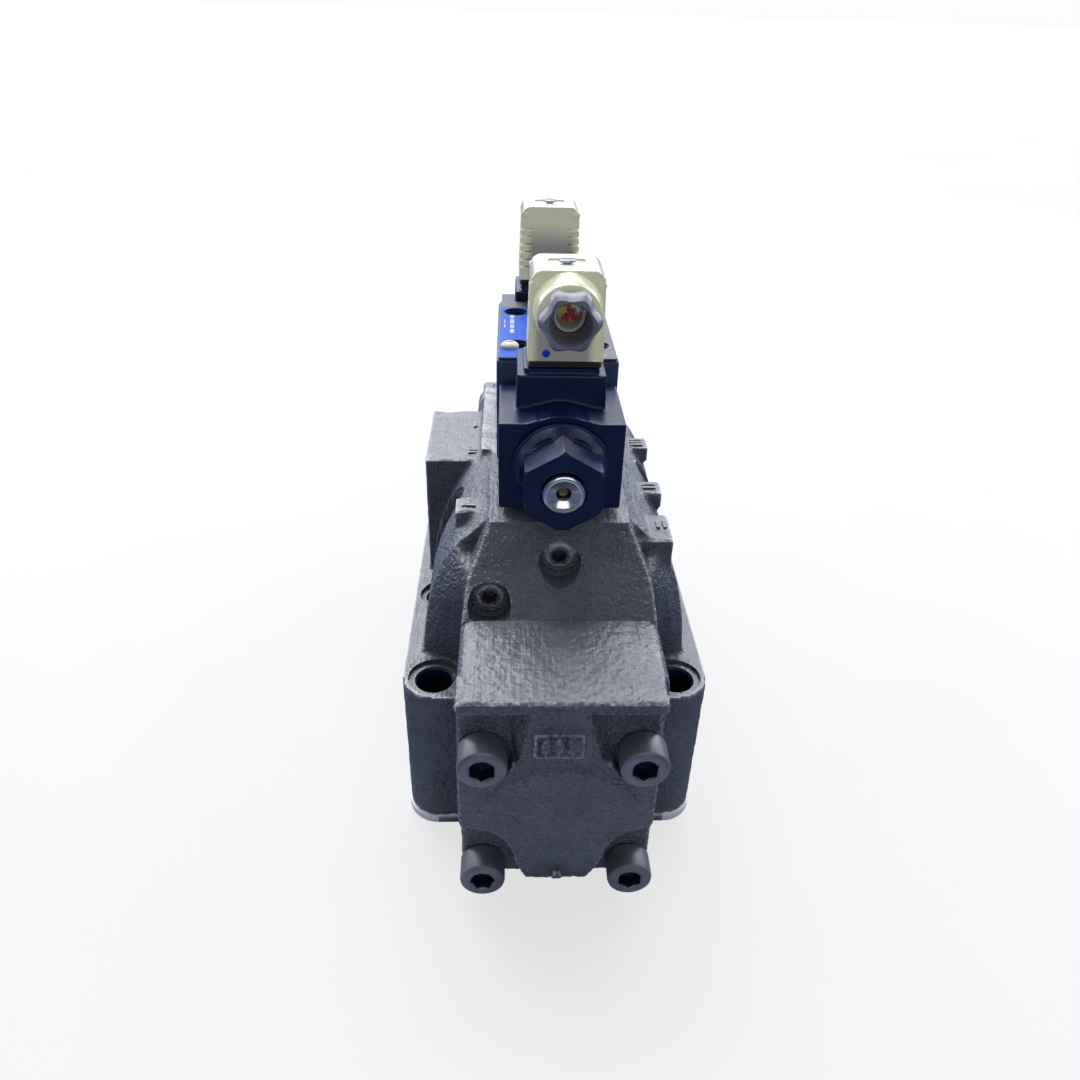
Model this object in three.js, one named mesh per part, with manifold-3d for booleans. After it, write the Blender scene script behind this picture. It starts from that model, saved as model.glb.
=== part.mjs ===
// Two-stage solenoid directional valve: a size 25 main valve for subplate mounting, with a
// size 6 double-solenoid pilot valve and two plug connectors on top.
// Frame: X across the valve, Y along both spools, Z up. The origin lies on the mounting face,
// under the middle of the main spool. All sizes are in millimetres.

import * as THREE from "three";
import { ConvexGeometry } from "three/addons/geometries/ConvexGeometry.js";
import { mergeVertices } from "three/addons/utils/BufferGeometryUtils.js";
import Module from "manifold-3d";

const wasm = await Module();
wasm.setup();

// ---------------------------------------------------------------- driving dimensions

const gap = 0.3; // clearance between neighbouring pieces
const reach = 300; // a length that cuts right through anything

// Mounting flange and the standard size 25 hole pattern.
const flange = { halfWidth: 58, front: -89, rear: 65, height: 68, corner: 12 };
const rim = { height: 3.6, step: 0.6 }; // bare machined rim round the foot of the flange
const boltX = 46.05;
const boltHoles = [
  [-boltX, -77],
  [boltX, -77],
  [-boltX, -23.8],
  [boltX, 0],
  [-boltX, 53.2],
  [boltX, 53.2],
];
const boltHoleRadius = 6.75;
const spotface = { radius: 10, depth: 1.5 };
const chamberPitch = 23.8; // spacing of the T, A, P, B, T chambers along the main spool
const mainPort = { x: 28.55, radius: 11.7, sealSeat: 15.4, sealRing: 13.7 };
const portTop = 40.3; // height where each port runs into its chamber
const pilotPort = { radius: 5.6, sealSeat: 8.6, sealRing: 6.9 };
const ports = [
  { name: "port_seal_p", at: [-mainPort.x, 0], ...mainPort },
  { name: "port_seal_t", at: [-mainPort.x, -2 * chamberPitch], ...mainPort },
  { name: "port_seal_a", at: [mainPort.x, -chamberPitch], ...mainPort },
  { name: "port_seal_b", at: [mainPort.x, chamberPitch], ...mainPort },
  { name: "port_seal_x", at: [26.95, -59.5], ...pilotPort },
  { name: "port_seal_y", at: [-27.05, 35.7], ...pilotPort },
];
const sealCord = 1.2; // radius of every O-ring's cord
const sealDepth = 2.6;

// Main stage: spool, bore, centring springs and end covers.
const spoolZ = 46.3;
const bore = { radius: 15, chamberRadius: 22, chamberWidth: 10 };
const jointY = 89; // plane where an end cover meets the casting
const mainSpool = { halfLength: 72, land: 14.7, neck: 9.5, outerLand: 54, landIn: 16.5, landOut: 31 };
const springSeat = { radius: 13.8, plate: 4, boss: 7.5, bossLength: 8 };
const mainSpring = { radius: 11.2, wire: 1.9, turns: 5.5 };
const cover = {
  halfWidth: 34.8,
  thick: [-34.8, 32.4], // the cast front block sits a little to the left of the screws
  bottom: 6.6,
  top: 104.2,
  plateFront: -117.7,
  faceFront: -129.8,
  front: -131,
  browHeight: 4.8,
  disc: 29.2,
  lobeFoot: 12,
  chamfer: { height: 31.4, depth: 6 }, // the lobe's front slopes back towards its foot
  pocketRadius: 9.6, // round each upper screw's head
  pocketInner: [12.5, 17.2], // the pocket's sloping inner wall, at its top and bottom
  chamber: 15.5,
  chamberEnd: -125,
};
const coverSeal = { ring: 20.2, inner: 18.6, outer: 21.8 };
const coverScrews = [
  { name: "upper_left", x: -26.3, z: 78.3, seat: -124 },
  { name: "upper_right", x: 26.3, z: 78.3, seat: -124 },
  { name: "lower_left", x: -27, z: 14.3, seat: cover.plateFront },
  { name: "lower_right", x: 27, z: 14.3, seat: cover.plateFront },
];
const coverScrew = {
  headRadius: 8.2,
  head: 10,
  shank: 5,
  hole: 5.4,
  intoBody: 18,
  tapRoom: 3,
  socket: 4.6,
};

// Casting above the flange.
const coreHalfWidth = 34.3;
const pad = { z: 130.2, halfWidth: 24.9, end: 65.7 };
const shoulder = { x: 32.8, z: 113.6 };
const slopeFoot = 103.6; // height where the sloping end faces start
const flank = {
  front: -62,
  rear: 43,
  footX: 51.6,
  bulge: [49.5, 102.6], // the point that the flank's curve leans towards
  topX: 37.4,
  topZ: 118.6,
  footLength: 9,
  topLength: 13,
};
const sideBosses = [
  [[-53.2, -20], [-5, 46], 123.6], // block that carries the supply and drain drillings
  [[-29.6, -20], [-8, 58], pad.z], // ledge that widens the pilot pad
  [[-38.2, -28], [-51, -40.5], 125.9],
  [[28, 42.2], [-64, -45], 121.6],
  [[28, 43.2], [-28.5, -18.5], 121.6],
  [[28, 43], [13, 23], 121],
];
const plugPockets = [
  { name: "upper", x: 0, z: 120, floor: -72.5, drilling: 80 },
  { name: "lower", x: -24.7, z: 107.5, floor: -80, drilling: 16 },
];
const plug = { pocket: 7.6, radius: 5, length: 9, socket: 2.9, drilling: 3, tapRoom: 3 };

// Pilot valve.
const pilotY = 15.5; // middle of the pilot valve along Y
const pilotZ = 149; // axis of the pilot spool and both solenoids
const sealPlate = { halfWidth: 22.4, halfLength: 34, bottom: pad.z + 0.1, top: 131.5, hole: 3 };
const pilot = { halfWidth: 23, halfLength: 35.9, bottom: 131.7, top: 172.9 };
const label = { halfWidth: 22.4, halfLength: 35.2, bottom: 173.1, top: 173.9 };
const pilotBolt = {
  x: 15.5,
  y: 20.25,
  head: 4.2,
  headHole: 5,
  socket: 2.3,
  socketDepth: 2.6,
  shank: 2.5,
  headTop: 162.6,
  headBottom: 157.6,
  threadDepth: 12, // how far the screw enters the pilot pad
  tappedDepth: 15,
};
const pilotSpool = { halfLength: 24, land: 6, neck: 3.6, bore: 6.3, middleLand: 5, outerLand: 14 };
const pilotDrilling = 2.6; // radius of the vertical drillings in the pilot body
const passageDepth = 12; // depth of the pilot pad's four passages
const springRoom = 7.2; // radius of the chamber round each pilot spring
const tubeRecess = 3.4; // how far a core tube enters the pilot body
const pilotTravel = 3;
const pilotSpring = { radius: 4.5, wire: 0.6, turns: 3 };
const pilotFront = pilotY - pilot.halfLength; // Y of the pilot body's front end
const tubeSeat = pilotFront + tubeRecess;
const coil = {
  halfWidth: 21.8,
  bottom: 132.5,
  top: 165.4,
  front: -60,
  back: -25,
  shoulder: 19.2,
  neckStep: 2.2, // the part next to the pilot body is a little smaller all round
};
const tube = {
  radius: 9.3,
  poleEnd: -40,
  armatureBore: 7.2,
  endWall: -74,
  dish: 5.1, // radius of the shallow dish round the override pin
  dishFloor: -79,
  boss: 7.2,
  end: -80.4,
};
const armature = {
  radius: 6.8,
  inner: tube.poleEnd - pilotTravel - 1,
  outer: tube.endWall + pilotTravel + 0.5,
  rod: 2,
  rodHole: 2.4,
};
const pin = { radius: 2.1, hole: 2.5, inner: armature.outer - 0.4, outer: tube.end + pilotTravel + 0.1 };
const nut = {
  flange: 17.2,
  flangeBack: -60.3,
  flangeFront: -64.5,
  front: -79,
  across: 26,
  lip: 2.7, // the front wall, which closes round the core tube's boss
};

// Plug connector, its base on the coil and its cable gland.
const base = { halfWidth: 15.5, front: -47, back: -21.4, top: 177.6 };
const pedestal = { halfWidth: 13.2, front: -46, back: -23.4, top: 179.8 };
const blade = { width: 6, thickness: 0.9, top: 189.6, x: 7.4, earthY: -28.6, clearance: 0.45 };
const plugX = 1; // the connector stands a little to one side of the solenoid's axis
const plugY = -34.7; // middle of the connector along Y
const gasket = { bottom: 180, top: 181.9, halfWidth: 13, halfDepth: 11.2, border: 2.8 };
const housing = {
  halfWidth: 13.1,
  halfDepth: 11.1,
  bottom: 182.2,
  top: 213,
  wall: 2,
  roof: 3.5,
  corner: 4,
};
const insert = { halfWidth: 10.7, halfDepth: 8.7, bottom: 182.6, top: 193.6 };
const gland = { z: 200.9, collar: 11.1, collarEnd: -57, bore: 7, across: 17.9, end: -64.4, thread: 4.5 };
const sleeve = { outer: 5.2, inner: 4.1, back: -46.8, front: -55.5 };
const plugScrew = { radius: 1.4, hole: 1.8, head: 2.9, top: 214, bottom: 173.6, slot: 0.4 };

// ---------------------------------------------------------------- solid-making helpers

// A closed surface as a solid that can be joined and cut.
function solid(geometry) {
  const bare = geometry.index ? geometry.toNonIndexed() : geometry.clone();
  bare.deleteAttribute("normal");
  bare.deleteAttribute("uv");
  const merged = mergeVertices(bare, 1e-4);
  const vertProperties = Float32Array.from(merged.attributes.position.array);
  const triVerts = Uint32Array.from(merged.index.array);
  return new wasm.Manifold(new wasm.Mesh({ numProp: 3, vertProperties, triVerts }));
}

// A solid back as a flat-shaded surface.
function geometryOf(made) {
  const mesh = made.getMesh();
  const corners = new Float32Array(mesh.numVert * 3);
  for (let i = 0; i < mesh.numVert; i++) {
    corners.set(mesh.vertProperties.subarray(i * mesh.numProp, i * mesh.numProp + 3), i * 3);
  }
  const indexed = new THREE.BufferGeometry();
  indexed.setAttribute("position", new THREE.BufferAttribute(corners, 3));
  indexed.setIndex(new THREE.BufferAttribute(Uint32Array.from(mesh.triVerts), 1));
  const flat = indexed.toNonIndexed();
  flat.computeVertexNormals();
  return flat;
}

function box([x0, x1], [y0, y1], [z0, z1]) {
  const shape = new THREE.BoxGeometry(x1 - x0, y1 - y0, z1 - z0);
  shape.translate((x0 + x1) / 2, (y0 + y1) / 2, (z0 + z1) / 2);
  return solid(shape);
}

// An upright cylinder between two heights.
function post(radius, [z0, z1], [x, y], sides = 20) {
  const shape = new THREE.CylinderGeometry(radius, radius, z1 - z0, sides);
  shape.rotateX(Math.PI / 2);
  shape.translate(x, y, (z0 + z1) / 2);
  return solid(shape);
}

// A cylinder along Y between two places.
function rod(radius, [y0, y1], [x, z], sides = 20, turn = 0) {
  const shape = new THREE.CylinderGeometry(radius, radius, y1 - y0, sides);
  shape.rotateY(turn);
  shape.translate(x, (y0 + y1) / 2, z);
  return solid(shape);
}

// A solid of revolution about an axis along Y; the profile is a list of [radius, y].
function turned(profile, [x, z], sides = 20) {
  const points = profile.map(([radius, y]) => new THREE.Vector2(radius, y));
  const shape = new THREE.LatheGeometry(points, sides);
  shape.translate(x, 0, z);
  const made = solid(shape);
  if (made.volume() > 0) return made;
  return turned([...profile].reverse(), [x, z], sides);
}

// A hexagonal prism along Y, measured across its flats.
function hexRod(across, [y0, y1], [x, z], turn = 0) {
  return rod(across / Math.sqrt(3), [y0, y1], [x, z], 6, turn);
}

function outline(points) {
  return new THREE.Shape(points.map(([a, b]) => new THREE.Vector2(a, b)));
}

function extruded(shape, depth) {
  return new THREE.ExtrudeGeometry(shape, { depth, bevelEnabled: false, curveSegments: 5 });
}

// An outline in X and Z, carried along Y.
function prismY(shape, [y0, y1]) {
  const made = extruded(shape, y1 - y0);
  made.rotateX(Math.PI / 2);
  made.translate(0, y1, 0);
  return solid(made);
}

// An outline in Y and Z, carried along X.
function prismX(shape, [x0, x1]) {
  const made = extruded(shape, x1 - x0);
  made.rotateX(Math.PI / 2);
  made.rotateZ(Math.PI / 2);
  made.translate(x0, 0, 0);
  return solid(made);
}

// An outline in X and Y, carried up Z.
function prismZ(shape, [z0, z1]) {
  const made = extruded(shape, z1 - z0);
  made.translate(0, 0, z0);
  return solid(made);
}

function roundedRectangle([x0, x1], [y0, y1], radius) {
  const shape = new THREE.Shape();
  shape.absarc(x1 - radius, y0 + radius, radius, -Math.PI / 2, 0);
  shape.absarc(x1 - radius, y1 - radius, radius, 0, Math.PI / 2);
  shape.absarc(x0 + radius, y1 - radius, radius, Math.PI / 2, Math.PI);
  shape.absarc(x0 + radius, y0 + radius, radius, Math.PI, 1.5 * Math.PI);
  return shape;
}

// The same outline points followed by their mirror images across X = 0.
function mirrored(points) {
  return [...points, ...points.map(([x, z]) => [-x, z]).reverse()];
}

// A helical compression spring along Y.
class Helix extends THREE.Curve {
  constructor(radius, [y0, y1], turns, z) {
    super();
    Object.assign(this, { radius, y0, y1, turns, z });
  }
  getPoint(t, target = new THREE.Vector3()) {
    const angle = 2 * Math.PI * this.turns * t;
    const y = this.y0 + (this.y1 - this.y0) * t;
    return target.set(this.radius * Math.cos(angle), y, this.z + this.radius * Math.sin(angle));
  }
}

function spring({ radius, wire, turns }, [y0, y1], z) {
  const wireShape = new THREE.Shape().setFromPoints(circlePoints(wire, 5));
  const path = new Helix(radius, [y0 + wire, y1 - wire], turns, z);
  const steps = Math.round(turns * 8);
  return solid(new THREE.ExtrudeGeometry(wireShape, { steps, extrudePath: path }));
}

function circlePoints(radius, count) {
  const angles = Array.from({ length: count }, (_, i) => (2 * Math.PI * i) / count);
  return angles.map((angle) => new THREE.Vector2(radius * Math.cos(angle), radius * Math.sin(angle)));
}

function ring(radius) {
  return new THREE.TorusGeometry(radius, sealCord, 4, 16);
}

// ---------------------------------------------------------------- finishes

const finishes = {
  castIron: { color: 0x3b3f4a, roughness: 0.62, metalness: 0.35 },
  blackSteel: { color: 0x2c2f36, roughness: 0.45, metalness: 0.7 },
  steel: { color: 0xa9adb2, roughness: 0.3, metalness: 0.95 },
  springSteel: { color: 0x6f757c, roughness: 0.35, metalness: 0.9 },
  nickel: { color: 0xc9ccd0, roughness: 0.2, metalness: 1 },
  brass: { color: 0xb08a45, roughness: 0.35, metalness: 0.9 },
  blackPlastic: { color: 0x10131f, roughness: 0.4, metalness: 0 },
  ivoryPlastic: { color: 0xd9d8bd, roughness: 0.25, metalness: 0 },
  greyPlastic: { color: 0x70747f, roughness: 0.4, metalness: 0 },
  whitePlastic: { color: 0xe6e4dc, roughness: 0.4, metalness: 0 },
  rubber: { color: 0x15161a, roughness: 0.8, metalness: 0 },
  bluePlate: { color: 0x1f45b8, roughness: 0.3, metalness: 0.4 },
};

function mesh(name, shape, finish) {
  const geometry = shape.isBufferGeometry ? shape : geometryOf(shape);
  const made = new THREE.Mesh(geometry, new THREE.MeshStandardMaterial(finishes[finish]));
  made.name = name;
  return made;
}

// A group turned half round about the upright axis through (0, y).
function halfTurnAbout(y) {
  const group = new THREE.Group();
  group.rotation.z = Math.PI;
  group.position.y = 2 * y;
  return group;
}

// ---------------------------------------------------------------- main casting

// The curved flank's height profile, from the flange up to the shoulder.
function flankProfile() {
  const curve = new THREE.QuadraticBezierCurve(
    new THREE.Vector2(flank.footX, flange.height - 2),
    new THREE.Vector2(...flank.bulge),
    new THREE.Vector2(flank.topX, flank.topZ),
  );
  return curve.getPoints(4).map((point) => [point.x, point.y]);
}

// The flank runs out into the core as a wedge, from y in the direction of end.
function flankWedge(sideX, y, end) {
  const foot = flange.height - 2;
  const insideX = coreHalfWidth - 3;
  const at = (x, along, z) => new THREE.Vector3(sideX * x, y + end * along, z);
  const points = flankProfile().map(([x, z]) => at(x, 0, z));
  points.push(at(insideX, 0, foot));
  points.push(at(shoulder.x - 2, 0, flank.topZ - 3));
  points.push(at(insideX, flank.footLength, foot));
  points.push(at(coreHalfWidth - 0.5, flank.footLength, foot));
  points.push(at(shoulder.x - 0.3, flank.topLength, shoulder.z - 1));
  return solid(new ConvexGeometry(points));
}

function castingShape() {
  const footprint = (step) =>
    roundedRectangle(
      [-flange.halfWidth - step, flange.halfWidth + step],
      [flange.front - step, flange.rear + step],
      flange.corner + step,
    );
  let body = prismZ(footprint(0), [0, flange.height]);
  body = body.add(prismZ(footprint(rim.step), [0, rim.height]));
  const upper = [
    [shoulder.x, shoulder.z],
    [pad.halfWidth, pad.z],
  ];
  const core = outline(mirrored([[coreHalfWidth, 0], [coreHalfWidth, slopeFoot], ...upper]));
  body = body.add(prismY(core, [-jointY, jointY]));
  const flanks = outline(mirrored([...flankProfile(), [pad.halfWidth, pad.z]]));
  body = body.add(prismY(flanks, [flank.front, flank.rear]));
  for (const sideX of [-1, 1]) {
    body = body.add(flankWedge(sideX, flank.front, -1));
    body = body.add(flankWedge(sideX, flank.rear, 1));
  }
  for (const [spanX, spanY, top] of sideBosses) {
    body = body.add(box(spanX, spanY, [flange.height - 1, top]));
  }
  // Sloping faces at both ends, above the covers.
  for (const end of [-1, 1]) {
    const above = outline([
      [end * reach, slopeFoot],
      [end * jointY, slopeFoot],
      [end * pad.end, pad.z],
      [end * pad.end, reach],
      [end * reach, reach],
    ]);
    body = body.subtract(prismX(above, [-reach, reach]));
  }
  return body;
}

function mainBody() {
  let body = castingShape();
  for (const [x, y] of boltHoles) {
    body = body.subtract(post(boltHoleRadius, [-1, flange.height + 1], [x, y], 12));
    body = body.subtract(post(spotface.radius, [flange.height - spotface.depth, reach], [x, y], 16));
  }
  body = body.subtract(rod(bore.radius, [-jointY - 1, jointY + 1], [0, spoolZ], 16));
  for (let chamber = -2; chamber <= 2; chamber++) {
    const middle = chamber * chamberPitch;
    const span = [middle - bore.chamberWidth / 2, middle + bore.chamberWidth / 2];
    body = body.subtract(rod(bore.chamberRadius, span, [0, spoolZ], 12));
  }
  for (const port of ports) {
    body = body.subtract(post(port.radius, [-1, portTop], port.at, 12));
    body = body.subtract(post(port.sealSeat, [-1, sealDepth], port.at, 14));
  }
  for (const pocket of plugPockets) {
    const place = [pocket.x, pocket.z];
    const tapped = [pocket.floor - 1, pocket.floor + plug.length + plug.tapRoom];
    const drilled = [pocket.floor, pocket.floor + pocket.drilling];
    let cut = rod(plug.pocket, [-reach, pocket.floor], place, 16);
    cut = cut.add(rod(plug.radius + gap, tapped, place, 12));
    cut = cut.add(rod(plug.drilling, drilled, place, 6));
    body = body.subtract(cut).subtract(cut.rotate([0, 0, 180]));
  }
  for (const screw of coverScrews) {
    const deep = [-jointY - 1, -jointY + coverScrew.intoBody + coverScrew.tapRoom];
    const hole = rod(coverScrew.hole, deep, [screw.x, screw.z], 8);
    body = body.subtract(hole).subtract(hole.rotate([0, 0, 180]));
  }
  for (const [x, y] of pilotBoltPlaces()) {
    body = body.subtract(post(pilotBolt.shank + gap, [pad.z - pilotBolt.tappedDepth, pad.z + 1], [x, y], 8));
  }
  for (const [x, y] of pilotPassages()) {
    body = body.subtract(post(sealPlate.hole, [pad.z - passageDepth, pad.z + 1], [x, y], 8));
  }
  return body;
}

// ---------------------------------------------------------------- end covers

// The thick middle of a cover: square shoulders above, a narrowing lobe below.
function coverFaceOutline() {
  const [left, right] = cover.thick;
  const lobe = [
    [24, 44.6],
    [18, 40.1],
    [15.2, 31.1],
    [13.4, 24.1],
    [11, cover.lobeFoot],
  ];
  const shoulders = [
    [left, 45.6],
    [left, cover.top],
    [right, cover.top],
    [right, 45.6],
  ];
  return outline([...mirrored(lobe), ...shoulders]);
}

function endCover() {
  const plateOutline = roundedRectangle(
    [-cover.halfWidth, cover.halfWidth],
    [cover.bottom, cover.top],
    5,
  );
  const back = -jointY - gap;
  let made = prismY(plateOutline, [cover.plateFront, back]);
  made = made.add(prismY(coverFaceOutline(), [cover.faceFront, cover.plateFront]));
  const disc = rod(cover.disc, [cover.front, cover.plateFront], [0, spoolZ], 28);
  made = made.add(disc.intersect(prismY(coverFaceOutline(), [cover.front, cover.plateFront])));
  const brow = [cover.top - cover.browHeight, cover.top];
  made = made.add(box(cover.thick, [cover.front, cover.plateFront], brow));
  const { height, depth } = cover.chamfer;
  const slope = outline([
    [cover.front, height],
    [cover.front + depth, cover.lobeFoot],
    [cover.front + depth, 0],
    [cover.front - 1, 0],
    [cover.front - 1, height],
  ]);
  made = made.subtract(prismX(slope, [-cover.disc, cover.disc]));
  for (const screw of coverScrews.filter(({ z }) => z > spoolZ)) {
    const side = Math.sign(screw.x);
    const [innerTop, innerBottom] = cover.pocketInner;
    const pocket = outline([
      [side * innerTop, brow[0]],
      [side * innerBottom, screw.z - 2],
      [side * reach, screw.z - 2],
      [side * reach, brow[0]],
    ]);
    made = made.subtract(prismY(pocket, [-reach, screw.seat]));
    made = made.subtract(rod(cover.pocketRadius, [-reach, screw.seat], [screw.x, screw.z], 16));
  }
  made = made.subtract(rod(cover.chamber, [cover.chamberEnd, back + 1], [0, spoolZ], 16));
  const sealGroove = [
    [coverSeal.inner, back - sealDepth],
    [coverSeal.outer, back - sealDepth],
    [coverSeal.outer, back + 1],
    [coverSeal.inner, back + 1],
    [coverSeal.inner, back - sealDepth],
  ];
  made = made.subtract(turned(sealGroove, [0, spoolZ], 20));
  for (const screw of coverScrews) {
    made = made.subtract(rod(coverScrew.hole, [-reach, back + 1], [screw.x, screw.z], 10));
  }
  return made;
}

function socketScrewAlongY({ headRadius, head, shank, socket }, seat, tip, place) {
  const front = seat - head;
  const profile = [
    [0, front],
    [headRadius - 1, front],
    [headRadius, front + 1],
    [headRadius, seat],
    [shank, seat],
    [shank, tip],
    [0, tip],
  ];
  const hex = rod(socket, [front - 1, front + head / 2], place, 6, Math.PI / 6);
  return turned(profile, place, 14).subtract(hex);
}

function coverSet(suffix) {
  const set = suffix === "front" ? new THREE.Group() : halfTurnAbout(0);
  set.add(mesh(`cover_${suffix}`, endCover(), "castIron"));
  for (const screw of coverScrews) {
    const tip = -jointY + coverScrew.intoBody;
    const made = socketScrewAlongY(coverScrew, screw.seat - gap, tip, [screw.x, screw.z]);
    set.add(mesh(`cover_screw_${suffix}_${screw.name}`, made, "blackSteel"));
  }
  const seal = ring(coverSeal.ring);
  seal.rotateX(Math.PI / 2);
  seal.translate(0, -jointY - gap - sealDepth / 2, spoolZ);
  set.add(mesh(`cover_seal_${suffix}`, seal, "rubber"));
  const seatBack = -mainSpool.halfLength - gap;
  const seatProfile = [
    [0, seatBack],
    [springSeat.radius, seatBack],
    [springSeat.radius, seatBack - springSeat.plate],
    [springSeat.boss, seatBack - springSeat.plate],
    [springSeat.boss, seatBack - springSeat.plate - springSeat.bossLength],
    [0, seatBack - springSeat.plate - springSeat.bossLength],
  ];
  set.add(mesh(`spring_seat_${suffix}`, turned(seatProfile, [0, spoolZ], 16), "steel"));
  const springSpan = [cover.chamberEnd + gap, seatBack - springSeat.plate - gap];
  set.add(mesh(`main_spring_${suffix}`, spring(mainSpring, springSpan, spoolZ), "springSteel"));
  for (const pocket of plugPockets) {
    const place = [pocket.x, pocket.z];
    const outer = pocket.floor + gap;
    let made = rod(plug.radius, [outer, outer + plug.length], place, 16);
    made = made.subtract(rod(plug.socket, [outer - 1, outer + plug.length / 2], place, 6));
    set.add(mesh(`passage_plug_${suffix}_${pocket.name}`, made, "blackSteel"));
  }
  return set;
}

// ---------------------------------------------------------------- main spool and seals

function mainSpoolShape() {
  const { halfLength, land, neck, outerLand, landIn, landOut } = mainSpool;
  const half = [
    [land, landIn],
    [land, landOut],
    [neck, landOut],
    [neck, outerLand],
    [land, outerLand],
    [land, halfLength],
    [0, halfLength],
  ];
  const mirroredHalf = half.map(([radius, y]) => [radius, -y]).reverse();
  return turned([...mirroredHalf, [neck, -landIn], [neck, landIn], ...half], [0, spoolZ], 16);
}

function portSeal(port) {
  const seal = ring(port.sealRing);
  seal.translate(port.at[0], port.at[1], sealDepth / 2);
  return mesh(port.name, seal, "rubber");
}

// ---------------------------------------------------------------- pilot valve

// The four bolts of the standard size 6 pattern.
function pilotBoltPlaces() {
  const places = [];
  for (const sideX of [-1, 1]) {
    for (const sideY of [-1, 1]) {
      places.push([sideX * pilotBolt.x, pilotY + sideY * pilotBolt.y]);
    }
  }
  return places;
}

// P, T, A and B of the standard size 6 pattern.
function pilotPassages() {
  return [
    [10.4, pilotY + 1.25],
    [-10.4, pilotY + 1.25],
    [0, pilotY - 7.55],
    [0, pilotY + 9.95],
  ];
}

function pilotBody() {
  const ends = [pilotY - pilot.halfLength, pilotY + pilot.halfLength];
  let body = box([-pilot.halfWidth, pilot.halfWidth], ends, [pilot.bottom, pilot.top]);
  body = body.subtract(rod(pilotSpool.bore, [ends[0] - 1, ends[1] + 1], [0, pilotZ], 14));
  for (const end of [-1, 1]) {
    const face = pilotY + end * pilot.halfLength;
    const inner = pilotY + end * (pilotSpool.halfLength + 0.5);
    const recess = face - end * tubeRecess;
    const span = (a, b) => [Math.min(a, b), Math.max(a, b)];
    body = body.subtract(rod(springRoom, span(face + end, inner), [0, pilotZ], 14));
    body = body.subtract(rod(tube.radius + gap, span(face + end, recess), [0, pilotZ], 16));
  }
  for (const [x, y] of pilotPassages()) {
    body = body.subtract(post(pilotDrilling, [pilot.bottom - 1, pilotZ], [x * 0.8, y], 8));
  }
  for (const [x, y] of pilotBoltPlaces()) {
    body = body.subtract(post(pilotBolt.shank + gap, [pilot.bottom - 1, pilot.top + 1], [x, y], 8));
    body = body.subtract(post(pilotBolt.headHole, [pilotBolt.headBottom, pilot.top + 1], [x, y], 12));
  }
  return body;
}

function nameplate() {
  const ends = [pilotY - label.halfLength, pilotY + label.halfLength];
  let plate = box([-label.halfWidth, label.halfWidth], ends, [label.bottom, label.top]);
  for (const [x, y] of pilotBoltPlaces()) {
    plate = plate.subtract(post(pilotBolt.headHole, [label.bottom - 1, label.top + 1], [x, y], 12));
  }
  return plate;
}

function pilotSealPlate() {
  const { halfWidth, halfLength, bottom, top, hole } = sealPlate;
  const ends = [pilotY - halfLength, pilotY + halfLength];
  let plate = box([-halfWidth, halfWidth], ends, [bottom, top]);
  for (const [x, y] of pilotPassages()) {
    plate = plate.subtract(post(hole, [0, reach], [x, y], 8));
  }
  for (const [x, y] of pilotBoltPlaces()) {
    plate = plate.subtract(post(pilotBolt.shank + gap, [0, reach], [x, y], 8));
  }
  return plate;
}

function pilotScrew([x, y]) {
  const { head, shank, socket, socketDepth, headTop, headBottom, threadDepth } = pilotBolt;
  let screw = post(head, [headBottom + gap, headTop], [x, y], 12);
  screw = screw.add(post(shank, [pad.z - threadDepth, headBottom + 1], [x, y], 8));
  return screw.subtract(post(socket, [headTop - socketDepth, reach], [x, y], 6));
}

function pilotSpoolShape() {
  const { halfLength, land, neck, middleLand, outerLand } = pilotSpool;
  const profile = [
    [0, pilotY - halfLength],
    [land, pilotY - halfLength],
    [land, pilotY - outerLand],
    [neck, pilotY - outerLand],
    [neck, pilotY - middleLand],
    [land, pilotY - middleLand],
    [land, pilotY + middleLand],
    [neck, pilotY + middleLand],
    [neck, pilotY + outerLand],
    [land, pilotY + outerLand],
    [land, pilotY + halfLength],
    [0, pilotY + halfLength],
  ];
  return turned(profile, [0, pilotZ], 12);
}

// ---------------------------------------------------------------- one solenoid

// Moves a shape from the solenoid's middle plane to the connector's.
function offset(shape) {
  return shape.translate([plugX, 0, 0]);
}

function coilShape() {
  const { halfWidth, bottom, top, front, back } = coil;
  let body = box([-halfWidth, halfWidth], [front, back], [bottom, top]);
  const neckZ = [bottom + coil.neckStep, top - 1.5 * coil.neckStep];
  const neckX = [-halfWidth + coil.neckStep, halfWidth - coil.neckStep];
  body = body.add(box(neckX, [back - 1, pilotFront - gap], neckZ));
  const upperHalf = box([-halfWidth, halfWidth], [front, base.front + 1], [pilotZ, reach]);
  body = body.add(rod(coil.shoulder, [front, base.front + 1], [0, pilotZ], 28).intersect(upperHalf));
  body = body.add(box([-base.halfWidth, base.halfWidth], [base.front, base.back], [top - 1, base.top]));
  const stand = [pedestal.front, pedestal.back];
  body = body.add(box([-pedestal.halfWidth, pedestal.halfWidth], stand, [base.top - 1, pedestal.top]));
  for (const side of [-1, 1]) {
    const across = [side * blade.x - blade.thickness / 2, side * blade.x + blade.thickness / 2];
    const along = [plugY - blade.width / 2, plugY + blade.width / 2];
    body = body.add(offset(box(across, along, [pedestal.top - 1, blade.top])));
  }
  const earth = [blade.earthY - blade.thickness / 2, blade.earthY + blade.thickness / 2];
  const earthBlade = box([-blade.width / 2, blade.width / 2], earth, [pedestal.top - 1, blade.top]);
  body = body.add(offset(earthBlade));
  const tapped = post(plugScrew.hole, [plugScrew.bottom - 1, pedestal.top + 1], [0, plugY], 10);
  body = body.subtract(offset(tapped));
  return body.subtract(rod(tube.radius + gap, [front - 1, back + reach], [0, pilotZ], 16));
}

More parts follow.
